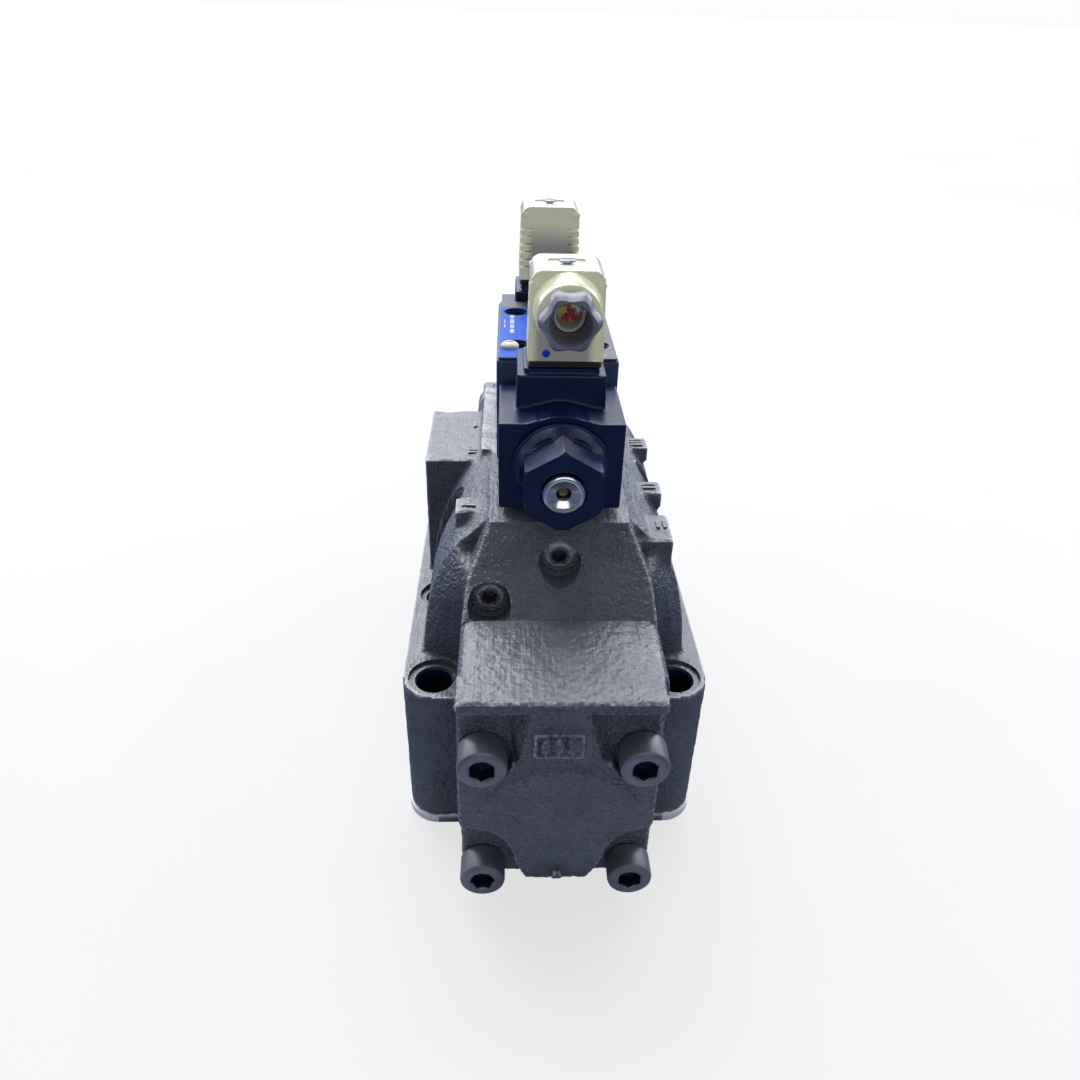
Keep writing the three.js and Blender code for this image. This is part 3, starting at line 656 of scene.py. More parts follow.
def flank_wedge(side, y, end):
    inside = CORE_X - 3
    points = [(side * x, y, z) for x, z in flank_profile()]
    points.append((side * inside, y, FOOT))
    points.append((side * (SHOULDER[0] - 2), y, FLANK_Z - 3))
    points.append((side * inside, y + end * 9, FOOT))
    points.append((side * (CORE_X - 0.5), y + end * 9, FOOT))
    points.append((side * (SHOULDER[0] - 0.3), y + end * 13, SHOULDER[1] - 1))
    return hull(points)


# Blocks that stand out of the casting: extent along X and Y, top, and where they run out below.
BOSSES = [
    ((-53.2, -20), (-5, 46), 123.6, FOOT),
    ((-29.6, -20), (-8, 58), PAD_Z, FOOT),
    ((-38.2, -28), (-51, -40.5), 125.9, 106),
    ((28, 42.2), (-64, -45), 121.6, FOOT),
    ((28, 43.2), (-28.5, -18.5), 121.6, 108),
    ((28, 43), (13, 23), 121, 108),
]
MACHINED_ALLOWANCE = 3


def casting_blank():
    """The casting before machining, with stock on its foot, its ends and its pilot pad."""
    extra = MACHINED_ALLOWANCE
    half = [(CORE_X, -extra), (CORE_X, SLOPE_Z), SHOULDER, (PAD_X, PAD_Z)]
    half.append((PAD_X, PAD_Z + extra))
    core = prism("y", mirrored(half), (-JOINT_Y - extra, JOINT_Y + extra))
    rise = (PAD_Z - SLOPE_Z) / (JOINT_Y - PAD_Y)
    for end in (-1, 1):
        low = SLOPE_Z - rise * 20
        above = [
            (end * (JOINT_Y + 20), low),
            (end * PAD_Y, PAD_Z),
            (end * PAD_Y, FAR),
            (end * FAR, FAR),
            (end * FAR, low),
        ]
        cut(core, prism("x", above, (-FAR, FAR)))
    flange = rounded((-FLANGE_X, FLANGE_X), FLANGE_Y, CORNER, 8)
    parts = [core, prism("z", flange, (-extra, FLANGE_Z))]
    flanks = mirrored(flank_profile() + [(PAD_X, PAD_Z)])
    parts.append(prism("y", flanks, FLANK_Y))
    for side in (-1, 1):
        parts.append(flank_wedge(side, FLANK_Y[0], -1))
        parts.append(flank_wedge(side, FLANK_Y[1], 1))
    for x, y, top, foot in BOSSES:
        if top == PAD_Z:
            top += extra
        side = -1 if x[0] < 0 else 1
        outer, inner = (x[0], x[1]) if side < 0 else (x[1], x[0])
        profile = [(inner, foot - 12), (outer - side * 5, foot), (outer, foot + 7)]
        if foot == FOOT:
            profile = [(inner, foot), (outer, foot)]
        profile += [(outer, top), (inner, top)]
        parts.append(prism("y", profile, y))
    return joined(parts)


def casting_marks():
    """Plain raised bars on the bosses, where the ports are told apart."""
    marks = []

    def bar(x, y, top, size_x=5.2, size_y=1.3):
        half_x, half_y = size_x / 2, size_y / 2
        made = box((x - half_x, x + half_x), (y - half_y, y + half_y), (top - 1, top + 0.8))
        modified(made, "SUBSURF", subdivision_type="SIMPLE", levels=3)
        marks.append(modified(made, "SMOOTH", factor=0.5, iterations=3))

    bar(-33.2, -47.3, 125.9)
    bar(-33.2, -44.2, 125.9, 1.3, 4.4)
    for y in (-24.8, -22.2):
        bar(38.4, y, 121.6)
    for y in (15.6, 18, 20.4):
        bar(38.4, y, 121)
    bar(37.6, -53, 121.6, 1.3, 5.2)
    bar(40.2, -53, 121.6, 1.3, 5.2)
    for y in (1.4, 3.8):
        bar(-33.4, y, 123.6, 4.2)
    bar(-33.4, 29.4, 123.6, 1.3, 4.6)
    bar(-31.2, 29.4, 123.6, 1.3, 4.6)
    return marks


def cut_both_ends(shape, profile, place, sides):
    """Cuts a hollow along Y into the front of the casting and, turned half round, into the rear."""
    for matrix in (Matrix.Identity(4), half_turn(0)):
        tool = turned("y", profile, place, sides)
        tool.data.transform(matrix)
        cut(shape, tool)


def main_body():
    body = moulded(casting_blank(), 1.0, 3)
    lumpy(body, 5.0, 0.35)
    lumpy(body, 2.6, 0.3)
    add(body, *casting_marks())
    across = (-CORE_X - 1, CORE_X + 1)
    for limits in (
        ((-FAR, FAR), (-FAR, FAR), (-FAR, 0)),
        ((-FAR, FAR), (-FAR, FAR), (PAD_Z, FAR)),
        (across, (-FAR, -JOINT_Y), (-FAR, FAR)),
        (across, (JOINT_Y, FAR), (-FAR, FAR)),
    ):
        cut(body, box(*limits))
    step = RIM_STEP
    rim_x = (-FLANGE_X - step, FLANGE_X + step)
    rim_y = (FLANGE_Y[0] - step, FLANGE_Y[1] + step)
    add(body, bevelled(prism("z", rounded(rim_x, rim_y, CORNER + step, 8), (0, RIM_Z)), 0.45, 2))
    hole = [(BOLT_MOUTH, -1), (BOLT_BORE, 0.8), (BOLT_BORE, 65.6), (BOLT_MOUTH, 66.6)]
    hole.append((BOLT_MOUTH, 67))
    for place in BOLTS:
        cut(body, turned("z", [(SPOTFACE, FLANGE_Z - 1.5), (SPOTFACE, FAR)], place, 40))
        cut(body, turned("z", hole, place, 32))
    cut(body, rod("y", SPOOL_BORE, (-FAR, FAR), (0, SPOOL_Z)))
    for chamber in range(-2, 3):
        along = chamber * CHAMBER_PITCH
        groove = [(SPOOL_BORE - 1, along - 6), (CHAMBER, along - 4), (CHAMBER, along + 4)]
        groove.append((SPOOL_BORE - 1, along + 6))
        cut(body, turned("y", groove, (0, SPOOL_Z)))
    for port, (x, y) in PORTS.items():
        big = port in "ptab"
        bore, seat = (11.7, 15.4) if big else (5.6, 8.6)
        cut(body, turned("z", [(bore, -1), (bore, SPOOL_Z - 6)], (x, y), 40))
        mouth = [(seat + 0.4, -1), (seat + 0.4, 0), (seat, 0.4), (seat, 2.6)]
        cut(body, turned("z", mouth, (x, y)))
    for x, z, floor, depth in PLUGS:
        pocket = [(7.6, -FAR), (7.6, floor - 1.2), (6.6, floor)]
        tapped = [(5.5, floor - 0.5), (5.1, floor + 0.3), (5.1, floor + 12)]
        passage = [(3, floor), (3, floor + depth)]
        for profile, sides in ((pocket, 48), (tapped, 32), (passage, 20)):
            cut_both_ends(body, profile, (x, z), sides)
    hole = [(6, -JOINT_Y - 1), (5.4, -JOINT_Y + 1), (5.4, -JOINT_Y + 21)]
    for x, z, _, _ in COVER_SCREWS:
        cut_both_ends(body, hole, (x, z), 24)
    hole = [(PILOT_BOLT_HOLE, PAD_Z - 15), (PILOT_BOLT_HOLE, PAD_Z + 1)]
    for place in PILOT_BOLTS:
        cut(body, turned("z", hole, place, 20))
    for place in PILOT_PASSAGES:
        cut(body, turned("z", [(3, PAD_Z - 12), (3, PAD_Z + 1)], place, 20))

    def finish(centre):
        x, y, z = centre
        if z < 0.05:
            return 1
        from_bolt = min(math.hypot(x - bx, y - by) for bx, by in BOLTS)
        # The walls of the bolt bores take the painted shade.
        if z < FLANGE_Z - 1.8 and from_bolt < BOLT_MOUTH + 0.05:
            return 2
        ends = abs(y) > JOINT_Y - 0.02 and abs(x) < CORE_X
        inside = math.hypot(x, z - SPOOL_Z) < CHAMBER + 0.2 and abs(y) < JOINT_Y
        return 1 if ends or inside else 0

    piece("main_body", body, "casting", "casting machined socket", choose=finish)


# ---------------------------------------------------------------- end covers


def scallop(side):
    """The curved hollow beside the lower lobe of a cover, round a lower screw."""
    edge = [(THICK_X[0] if side < 0 else THICK_X[1], 45.4), (side * 26.5, 44.9)]
    edge += curve((side * 24.5, 44.4), (side * 16.4, 39.5), (side * 15.3, 28.5), 8)
    edge += curve((side * 14.9, 25.5), (side * 13.2, 17), (side * 11.3, LOBE_FOOT), 5)
    return edge


def cover_outline():
    left, right = scallop(-1), scallop(1)
    top = COVER[2][1]
    return [(THICK_X[0], top)] + left + list(reversed(right)) + [(THICK_X[1], top)]


def end_cover():
    top = COVER[2][1]
    stock = COVER_BACK + 2.5
    plate = rounded(COVER[0], COVER[2], 5, 6)
    parts = [prism("y", plate, (PLATE_FRONT, stock))]
    parts.append(prism("y", cover_outline(), (COVER_FACE, PLATE_FRONT + 1)))
    disc = turned("y", [(29.4, COVER_FACE + 1), (28.6, COVER_FRONT + 0.1)], (0, SPOOL_Z), 72)
    frame_of_lobe = prism("y", cover_outline(), (COVER_FRONT - 2, COVER_FACE + 2))
    parts.append(combine(disc, [frame_of_lobe], "INTERSECT"))
    arch = [(THICK_X[0], BROW_Z), (-13, BROW_Z), (-9, BROW_Z + 2.4), (6, BROW_Z + 2.4)]
    arch += [(10, BROW_Z), (THICK_X[1], BROW_Z), (THICK_X[1], top), (THICK_X[0], top)]
    parts.append(prism("y", arch, (COVER_FRONT, COVER_FACE + 1)))
    cover = moulded(joined(parts), 0.7, 2)
    deep = COVER_FRONT + LOBE_DEPTH
    slope = [(COVER_FRONT - 1, LOBE_TOP), (COVER_FRONT, LOBE_TOP), (deep, LOBE_FOOT)]
    slope += [(deep, 0), (COVER_FRONT - 1, 0)]
    cut(cover, prism("x", slope, (-25, 25)))
    for x, z, _, _ in COVER_SCREWS[:2]:
        side = 1 if x > 0 else -1
        outer_line, inner_line = RIBS[side]
        floor = COVER_FACE + 5.8
        level = z - 1

        def wall(inner_top, inner_low):
            return [
                (side * inner_top, BROW_Z - 0.2),
                (side * inner_low, level),
                (side * 60, level),
                (side * 60, BROW_Z - 0.2),
            ]

        rings = [(COVER_FRONT - 4, wall(*outer_line)), (COVER_FACE, wall(*outer_line))]
        rings.append((floor, wall(*inner_line)))
        cut(cover, tapered("y", rings))
        cut(cover, turned("y", [(10.2, -FAR), (10.2, COVER_FRONT), (9.4, floor)], (x, z), 56))
    # The walls of the pockets run into their floors with a casting's round corners.
    modified(cover, "REMESH", mode="VOXEL", voxel_size=0.7)
    modified(cover, "SMOOTH", factor=0.5, iterations=6)
    # A raised frame with three bars between the ribs.
    face = COVER_FACE - 1.4
    outer = prism("y", rounded((-9.9, 6.6), (80.6, 91.2), 0.9, 3), (face, COVER_FACE + 1))
    cut(outer, prism("y", rounded((-8.7, 5.4), (81.8, 90), 0.6, 3), (face - 1, COVER_FACE - 0.1)))
    for x in (-5.9, -1.65, 2.6):
        bar = rounded((x - 1.4, x + 1.4), (82.9, 88.9), 0.6, 3)
        add(outer, prism("y", bar, (face - 0.1, COVER_FACE + 1)))
    add(cover, outer)
    for z, half in ((17.2, 1.9), (20.6, 1.3)):
        slope_y = COVER_FRONT + LOBE_DEPTH * (LOBE_TOP - z) / (LOBE_TOP - LOBE_FOOT)
        add(cover, box((-half, half), (slope_y - 2, slope_y + 2), (z - 1.1, z + 1.1)))
    modified(cover, "REMESH", mode="VOXEL", voxel_size=0.62)
    modified(cover, "SMOOTH", factor=0.5, iterations=2)
    lumpy(cover, 5, 0.3)
    lumpy(cover, 1.7, 0.55)
    cut(cover, box((-FAR, FAR), (COVER_BACK, FAR), (-FAR, FAR)))
    cut(cover, turned("y", [(15.5, BORE_FLOOR), (15.5, FAR)], (0, SPOOL_Z)))
    groove = [(18.6, COVER_BACK - 2.6), (21.8, COVER_BACK - 2.6), (21.8, FAR), (18.6, FAR)]
    cut(cover, turned("y", groove, (0, SPOOL_Z), 64, closed=True))
    for x, z, _, _ in COVER_SCREWS:
        cut(cover, turned("y", [(5.4, -FAR), (5.4, FAR)], (x, z), 32))

    def finish(centre):
        x, y, z = centre
        inside = math.hypot(x, z - SPOOL_Z) < 22 and y > BORE_FLOOR - 0.5
        return 1 if y > COVER_BACK - 0.05 or inside else 0

    both_ends("cover_*", cover, 0, "casting", "casting machined", choose=finish)


def cap_screw(front, tip, place, radius, height, shank, across, turn, axis="y", away=1):
    """A socket head cap screw whose head starts at front and whose shank ends at tip."""
    s = away
    profile = [
        (radius - 1.7, front),
        (radius - 0.9, front + s * 0.15),
        (radius - 0.3, front + s * 0.6),
        (radius, front + s * 1.5),
        (radius, front + s * (height - 0.35)),
        (radius - 0.35, front + s * height),
        (shank, front + s * height),
    ]
    length = abs(tip - front) - height
    threads = int(length * 0.55 / 1.5)
    start = front + s * (height + length * 0.4)
    profile.append((shank, start))
    for i in range(threads):
        along = start + s * 1.5 * i
        profile += [(shank, along + s * 0.2), (shank - 0.75, along + s * 0.75), (shank, along + s * 1.3)]
    profile += [(shank, tip - s * 1.1), (shank - 1, tip)]
    screw = turned(axis, profile, place, 56)
    low, high = sorted((front - s, front + s * height * 0.5))
    cut(screw, prism(axis, hexagon(across, place, turn), (low, high)))
    mouth = [(across / 2 + 1.3, front - s * 0.5), (across / 2 - 0.4, front + s * 0.9)]
    cut(screw, turned(axis, mouth, place, 40))
    return screw


def cover_screws():
    for name, (x, z, front, tip) in zip(SCREW_NAMES, COVER_SCREWS):
        turn = {"upper_left": 0.5, "upper_right": 0.45, "lower_left": 0.05, "lower_right": 0.5}[name]
        screw = cap_screw(front, tip, (x, z), HEAD_RADIUS, HEAD, 5, 8, turn)
        reach = front + HEAD * 0.5

        # The inside of the hex socket takes the painted shade.
        def finish(centre):
            deep = math.hypot(centre[0] - x, centre[2] - z) < 4.65
            return 1 if deep and front + 0.5 < centre[1] < reach + 0.1 else 0

        both_ends(f"cover_screw_*_{name}", screw, 0, "black_steel", "black_steel socket", choose=finish)


def plugs():
    for (x, z, floor, _), name in zip(PLUGS, ("upper", "lower")):
        outer = floor + GAP
        profile = [(4.4, outer), (5, outer + 0.6), (5, outer + 8.4), (4.4, outer + 9)]
        body = turned("y", profile, (x, z), 40)
        cut(body, prism("y", hexagon(5, (x, z), 0.3), (outer - 1, outer + 4.5)))
        both_ends(f"passage_plug_*_{name}", body, 0, "black_steel", "casting")


def inner_parts():
    """Spools, spring seats, seals and armatures, which work inside."""
    lo, hi = span("main_spool")[1]
    land, neck = 14.7, 9.5
    profile = [(land - 0.6, lo), (land, lo + 0.6)]
    for start, end in ((lo + 0.6, -54), (-31, -16.5), (16.5, 31), (54, hi - 0.6)):
        if start > -70:
            profile += [(neck, start - 0.01), (land - 0.3, start), (land, start + 0.3)]
        for groove in (0.3, 0.5, 0.7):
            along = start + (end - start) * groove
            profile += [(land, along - 0.4), (land - 0.6, along - 0.3)]
            profile += [(land - 0.6, along + 0.3), (land, along + 0.4)]
        if end < 70:
            profile += [(land, end - 0.3), (land - 0.3, end), (neck, end + 0.01)]
    profile += [(land, hi - 0.6), (land - 0.6, hi)]
    spool = turned("y", profile, (0, SPOOL_Z), 64)
    piece("main_spool", spool, "steel", "steel", "main_spool_group")

    lo, hi = span("spring_seat_front")[1]
    profile = [(6.7, lo), (7.5, lo + 0.8), (7.5, hi - 4), (13.3, hi - 4), (13.8, hi - 3.5)]
    profile += [(13.8, hi - 0.5), (13.3, hi)]
    seat = turned("y", profile, (0, SPOOL_Z))
    both_ends("spring_seat_*", seat, 0, "steel", "steel", "main_spool_group")

    for port, (x, y) in PORTS.items():
        radius = 13.7 if port in "ptab" else 6.9
        seal = torus("z", radius, 1.2, 1.3, (x, y))
        piece(f"port_seal_{port}", seal, "rubber", "rubber")
    seal = torus("y", 20.2, 1.2, COVER_BACK - 1.3, (0, SPOOL_Z), 72)
    both_ends("cover_seal_*", seal, 0, "rubber", "rubber")

    lo, hi = span("pilot_spool")[1]
    profile = [(5.6, lo), (6, lo + 0.4)]
    for edge, sign in ((-14, 1), (-5, -1), (5, 1), (14, -1)):
        along = PILOT_Y + edge
        profile += [(6, along), (3.6, along + 0.01)] if sign > 0 else [(3.6, along), (6, along + 0.01)]
    profile += [(6, hi - 0.4), (5.6, hi)]
    spool = turned("y", profile, (0, PILOT_Z), 40)
    piece("pilot_spool", spool, "steel", "steel", "pilot_spool_group")

    y = span("armature_front")[1]
    back = -44
    profile = [(6.4, y[0]), (6.8, y[0] + 0.4), (6.8, back - 0.4), (6.4, back)]
    profile += [(2, back + 0.01), (2, y[1] - 0.4), (1.6, y[1])]
    armature = turned("y", profile, (0, PILOT_Z), 40)
    both_ends("armature_*", armature, PILOT_Y, "steel", "steel", "armature_group_*")


def springs():
    """Each spring is a coil of round wire that spans from the housing to the part it centres."""
    for size, turn_y, z, node, body in (
        ((11.2, 1.9, 5.5), 0, SPOOL_Z, "main_spring", "main_spool_group"),
        ((4.5, 0.6, 3), PILOT_Y, PILOT_Z, "pilot_spring", "pilot_spool_group"),
    ):
        radius, cord, turns = size
        ends = span(f"{node}_front")[1]
        for end in ("front", "rear"):
            made = helix(radius, cord, ends, turns, z)
            if end == "rear":
                made.data.transform(half_turn(turn_y))
            made.data.materials.append(M["spring"])
            made.data.transform(Matrix.Scale(MM, 4))
            made.data.shade_smooth()
            made.name = made.data.name = f"{node}_{end}"
            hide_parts(f"{node}_{end}")
            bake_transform(made)


# ---------------------------------------------------------------- pilot valve


def pilot_valve():
    x, y, z = PILOT
    body = bevelled(box(x, y, z), 0.9, 3)
    # Cast parting flutes down both sides, between the bolt columns.
    for side in (-1, 1):
        flute = rounded((PILOT_Y - 13, PILOT_Y + 13), (z[0] + 6, z[1] - 5), 3, 5)
        cut(body, prism("x", flute, sorted((side * (x[1] - 0.7), side * (x[1] + 5)))))
    cut(body, rod("y", 6.3, (-FAR, FAR), (0, PILOT_Z), 40))
    for end in (-1, 1):
        face = PILOT_Y + end * 35.9
        room = [(7.2, face + end), (7.2, PILOT_Y + end * 24.5)]
        seat = [(10.2, face + end * 0.5), (9.6, face - end * 0.6), (9.6, face - end * 3.4)]
        cut(body, turned("y", room, (0, PILOT_Z)), turned("y", seat, (0, PILOT_Z)))
    for px, py in PILOT_PASSAGES:
        cut(body, rod("z", 2.6, (z[0] - 1, PILOT_Z), (px * 0.8, py), 20))
    for place in PILOT_BOLTS:
        cut(body, rod("z", PILOT_BOLT_HOLE, (z[0] - 1, z[1] + 1), place, 20))
        cut(body, turned("z", [(5, 157.6), (5, z[1] - 0.5), (5.6, z[1] + 0.2)], place, 40))
    piece("pilot_body", body, "black_steel", "pilot_iron", soft=0.5)

    x, y, z = span("pilot_seal_plate")
    plate = bevelled(prism("z", rounded(x, y, 2), z), 0.15, 1)
    for place in PILOT_PASSAGES:
        cut(plate, rod("z", 3, (0, FAR), place, 24))
    for place in PILOT_BOLTS:
        cut(plate, rod("z", PILOT_BOLT_HOLE, (0, FAR), place, 24))
    piece("pilot_seal_plate", plate, "steel", "steel", soft=0.5)

    for index, place in enumerate(PILOT_BOLTS):
        z = span(f"pilot_screw_{index + 1}")[2]
        screw = cap_screw(z[1], z[0], place, 4.2, 5, 2.5, 4, 0.2 + index, axis="z", away=-1)
        piece(f"pilot_screw_{index + 1}", screw, "black_steel", "black_steel", soft=0.5)
    nameplate()


def nameplate():
    """A thin plate, blue on its left and middle and silver on its right, with generic print."""
    x, y, z = span("nameplate")
    plate = bevelled(prism("z", rounded(x, y, 1.2, 4), (z[0], z[1] - 0.12)), 0.12, 1)
    panels = [
        ("plate_blue", (x[0] + 0.5, 8.4), (y[0] + 0.5, y[1] - 8.6)),
        ("plate_white", (-18.0, -16.3), (8, 13)),
        ("plate_white", (-18.0, -16.3), (14.2, 18.4)),
        ("plate_white", (-18.0, -16.3), (19.6, 25.6)),
        ("plate_white", (-18.0, -16.3), (26.8, 31)),
        ("plate_white", (-20.4, -19.9), (14.6, 19)),
        ("plate_white", (-20.4, -19.9), (20.4, 24.9)),
    ]
    shapes = [(plate, "plate_silver")]
    for layer, (material, px, py) in enumerate(panels):
        top = z[1] - (0.05 if layer == 0 else 0)
        radius = min(0.5, 0.4 * (px[1] - px[0]))
        shapes.append((prism("z", rounded(px, py, radius, 3), (z[1] - 0.3, top)), material))
    # Print on the silver strip and the blue field: plain rules, all clear of the bolt holes.
    for i in range(5):
        start = y[0] + 22.8 + i * 5.4
        rules = [("plate_blue", 12.4, 0.7, start, (4.2, 3.6, 2.4)[i % 3])]
        if i % 2:
            rules.append(("plate_blue", 17.2, 0.6, start, 3.6 + 0.6 * (i // 2)))
        rules.append(("plate_white", -4.4 + i * 2, 0.8, start + 3.2, (5, 3.4, 4.4)[i % 3]))
        for material, left, width, near, length in rules:
            rule = box((left, left + width), (near, near + length), (z[1] - 0.3, z[1]))
            shapes.append((rule, material))
    for number, (shape, material) in enumerate(shapes):
        for place in PILOT_BOLTS:
            cut(shape, rod("z", 5, (z[0] - 1, z[1] + 1), place, 40))
        name = "nameplate" if number == 0 else f"nameplate_print_{number}"
        piece(name, shape, "plate", material, nodes=["nameplate"], soft=0.4)

    # A domed white seal stands beside the front left bolt hole, with a plain red bar on it.
    (px, py), top = PILOT_BOLTS[0], z[1]
    px, py = px - 2.6, py - 3
    dome = [(3.5, top - 0.4), (3.5, top + 0.5), (3.2, top + 1.1), (2.5, top + 1.6), (1.3, top + 1.9)]
    seal = turned("z", dome, (px, py), 40)
    bar = box((px - 1.2, px + 1.2), (py - 0.35, py + 0.35), (top, top + 2.05))
    add(seal, bevelled(bar, 0.1, 1))

    def finish(centre):
        return 1 if centre[2] > top + 1.92 else 0

    keys = "white_plastic red"
    piece("inspection_seal", seal, "white_plastic", keys, nodes=(), choose=finish, soft=0.4)


# ---------------------------------------------------------------- solenoids


def arch_outline():
    """The top of the coil round the nut: level at both sides, rising over the nut in an S."""
    top = COIL_TOP
    points = [(-15.5, top - 6)]
    points += curve((-14.6, top - 0.1), (-11.2, top), (-9.2, top + 1.1), 5)
    points += [(-px, PILOT_Z + math.sqrt(19.2**2 - px**2)) for px in (7.5, 6, 4.5, 3, 1.5)]
    points.append((0, PILOT_Z + 19.2))
    return points + [(-px, pz) for px, pz in reversed(points[:-1])]


def coil():
    x, (front, _), (bottom, _) = COIL
    top = COIL_TOP
    back = -25
    base_top = 177.6
    pedestal_top = 179.8
    parts = [box(x, (front, back), (bottom, top))]
    parts.append(box((x[0] + 2.2, x[1] - 2.2), (back - 2, COIL[1][1]), (bottom + 2.2, top - 3.3)))
    parts.append(prism("y", arch_outline(), (front, -46)))
    base = [
        (top - 3, rounded((-16, 16), (-47.4, -21.2), 1.2, 3)),
        (base_top, rounded((-15.5, 15.5), (-47, -21.4), 1.2, 3)),
    ]
    parts.append(tapered("z", base))
    pedestal = rounded((-13.2, 13.2), (-46, -23.4), 1.5, 3)
    parts.append(prism("z", pedestal, (base_top - 2, pedestal_top)))
    # A sloping fillet behind the base block carries the terminals' moulding.
    fillet = [(-24, top - 3), (-24, 172), (-21.4, 172), (COIL[1][1], top - 3.3)]
    parts.append(prism("x", fillet, (-12, 12)))
    shape = moulded(joined(parts), 0.4, 4)
    # Shallow sunk panels in the coil's flanks.
    for side in (-1, 1):
        panel = rounded((front + 5, back - 4), (bottom + 5, top - 5.5), 2.5, 5)
        cut(shape, prism("x", panel, sorted((side * (x[1] - 0.5), side * (x[1] + 5)))))
    cut(shape, turned("y", [(9.6, front - 1), (9.6, FAR)], (0, PILOT_Z), 56))
    cut(shape, rod("z", SCREW_HOLE, (172.5, pedestal_top + 1), (PLUG_X, PLUG_Y), 24))
    both_ends("coil_*", shape, PILOT_Y, "coil_plastic", "coil", soft=0.7)

    blades = []
    for side in (-1, 1):
        mid = side * TERMINAL_X
        blades.append(((mid - 0.45, mid + 0.45), (PLUG_Y - 3, PLUG_Y + 3)))
    blades.append(((-3, 3), (-29.05, -28.15)))
    for number, (bx, by) in enumerate(blades):
        tip = [(bx[0] + 0.9, bx[1] - 0.9), by]
        if bx[1] - bx[0] < 2:
            tip = [bx, (by[0] + 0.9, by[1] - 0.9)]
        rings = [(along, rectangle(bx, by)) for along in (pedestal_top - 1, 188.4)]
        blade = bevelled(tapered("z", rings + [(189.6, rectangle(*tip))]), 0.12, 1)
        name = f"coil_terminal_*_{number + 1}"
        both_ends(name, blade, PILOT_Y, "nickel", "tin", nodes=["coil_*"], shift=PLUG_X)


def core_tube():
    front, seat = TUBE[1]
    nut_front = NUT[1][0]
    outer = [
        (9.3, seat),
        (9.3, nut_front + 3),
        (7.2, nut_front + 2.9),
        (7.2, front + 1),
        (6.95, front + 0.35),
        (6.5, front + 0.08),
        (6.1, front),
        (5.5, front + 0.1),
        (5.1, front + 0.45),
        (2.6, front + 1.3),
        (2.5, front + 1.5),
        (2.5, -74.05),
        (7.2, -74),
        (7.2, -40),
        (2.4, -39.95),
        (2.4, seat - 0.05),
    ]
    tube = turned("y", outer, (0, PILOT_Z), 64, closed=True)
    both_ends("core_tube_*", tube, PILOT_Y, "nickel", "nickel", soft=0.5)
    y = span("override_pin_front")[1]
    profile = [(1.3, y[0]), (1.8, y[0] + 0.15), (2.1, y[0] + 0.6), (2.1, y[1])]
    pin = turned("y", profile, (0, PILOT_Z), 32)
    both_ends("override_pin_*", pin, PILOT_Y, "brass", "brass", "override_group_*")


def coil_nut():
    front, back = NUT[1]
    step = -64.5
    flange = [(16.4, back), (17.2, back - 0.7), (17.2, back - 1.5), (16.9, back - 1.9)]
    flange += [(16.5, back - 2.1), (16.3, back - 2.6), (13.8, step - 2.2)]
    nut = turned("y", flange, (0, PILOT_Z), 96)
    hexed = prism("y", hexagon(26, (0, PILOT_Z), math.pi / 2), (front, step + 1))
    cone = turned("y", [(14.2, front), (15.2, front + 1.4), (15.6, step + 2)], (0, PILOT_Z), 72)
    combine(hexed, [cone], "INTERSECT")
    bevelled(hexed, 0.5, 2, 0.7)
    add(nut, hexed)
    # Thumb-shaped hollows where the flats of the hexagon run into the cone.
    for i in range(6):
        angle = math.radians(60 * i)
        reach = 14
        centre = (reach * math.cos(angle), step - 1.9, PILOT_Z + reach * math.sin(angle))
        hollow = ball((4.6, 1.2, 1.0), (0, 0, 0), 4)
        hollow.data.transform(Matrix.Translation(centre) @ Matrix.Rotation(math.pi / 2 - angle, 4, "Y"))
        cut(nut, hollow)
    cut(nut, turned("y", [(9.6, front + 2.7), (9.6, FAR)], (0, PILOT_Z)))
    cut(nut, turned("y", [(8.3, front - 0.5), (7.5, front + 0.6), (7.5, FAR)], (0, PILOT_Z)))
    both_ends("coil_nut_*", nut, PILOT_Y, "coil_plastic", "coil", soft=0.45)


# ---------------------------------------------------------------- plug connectors


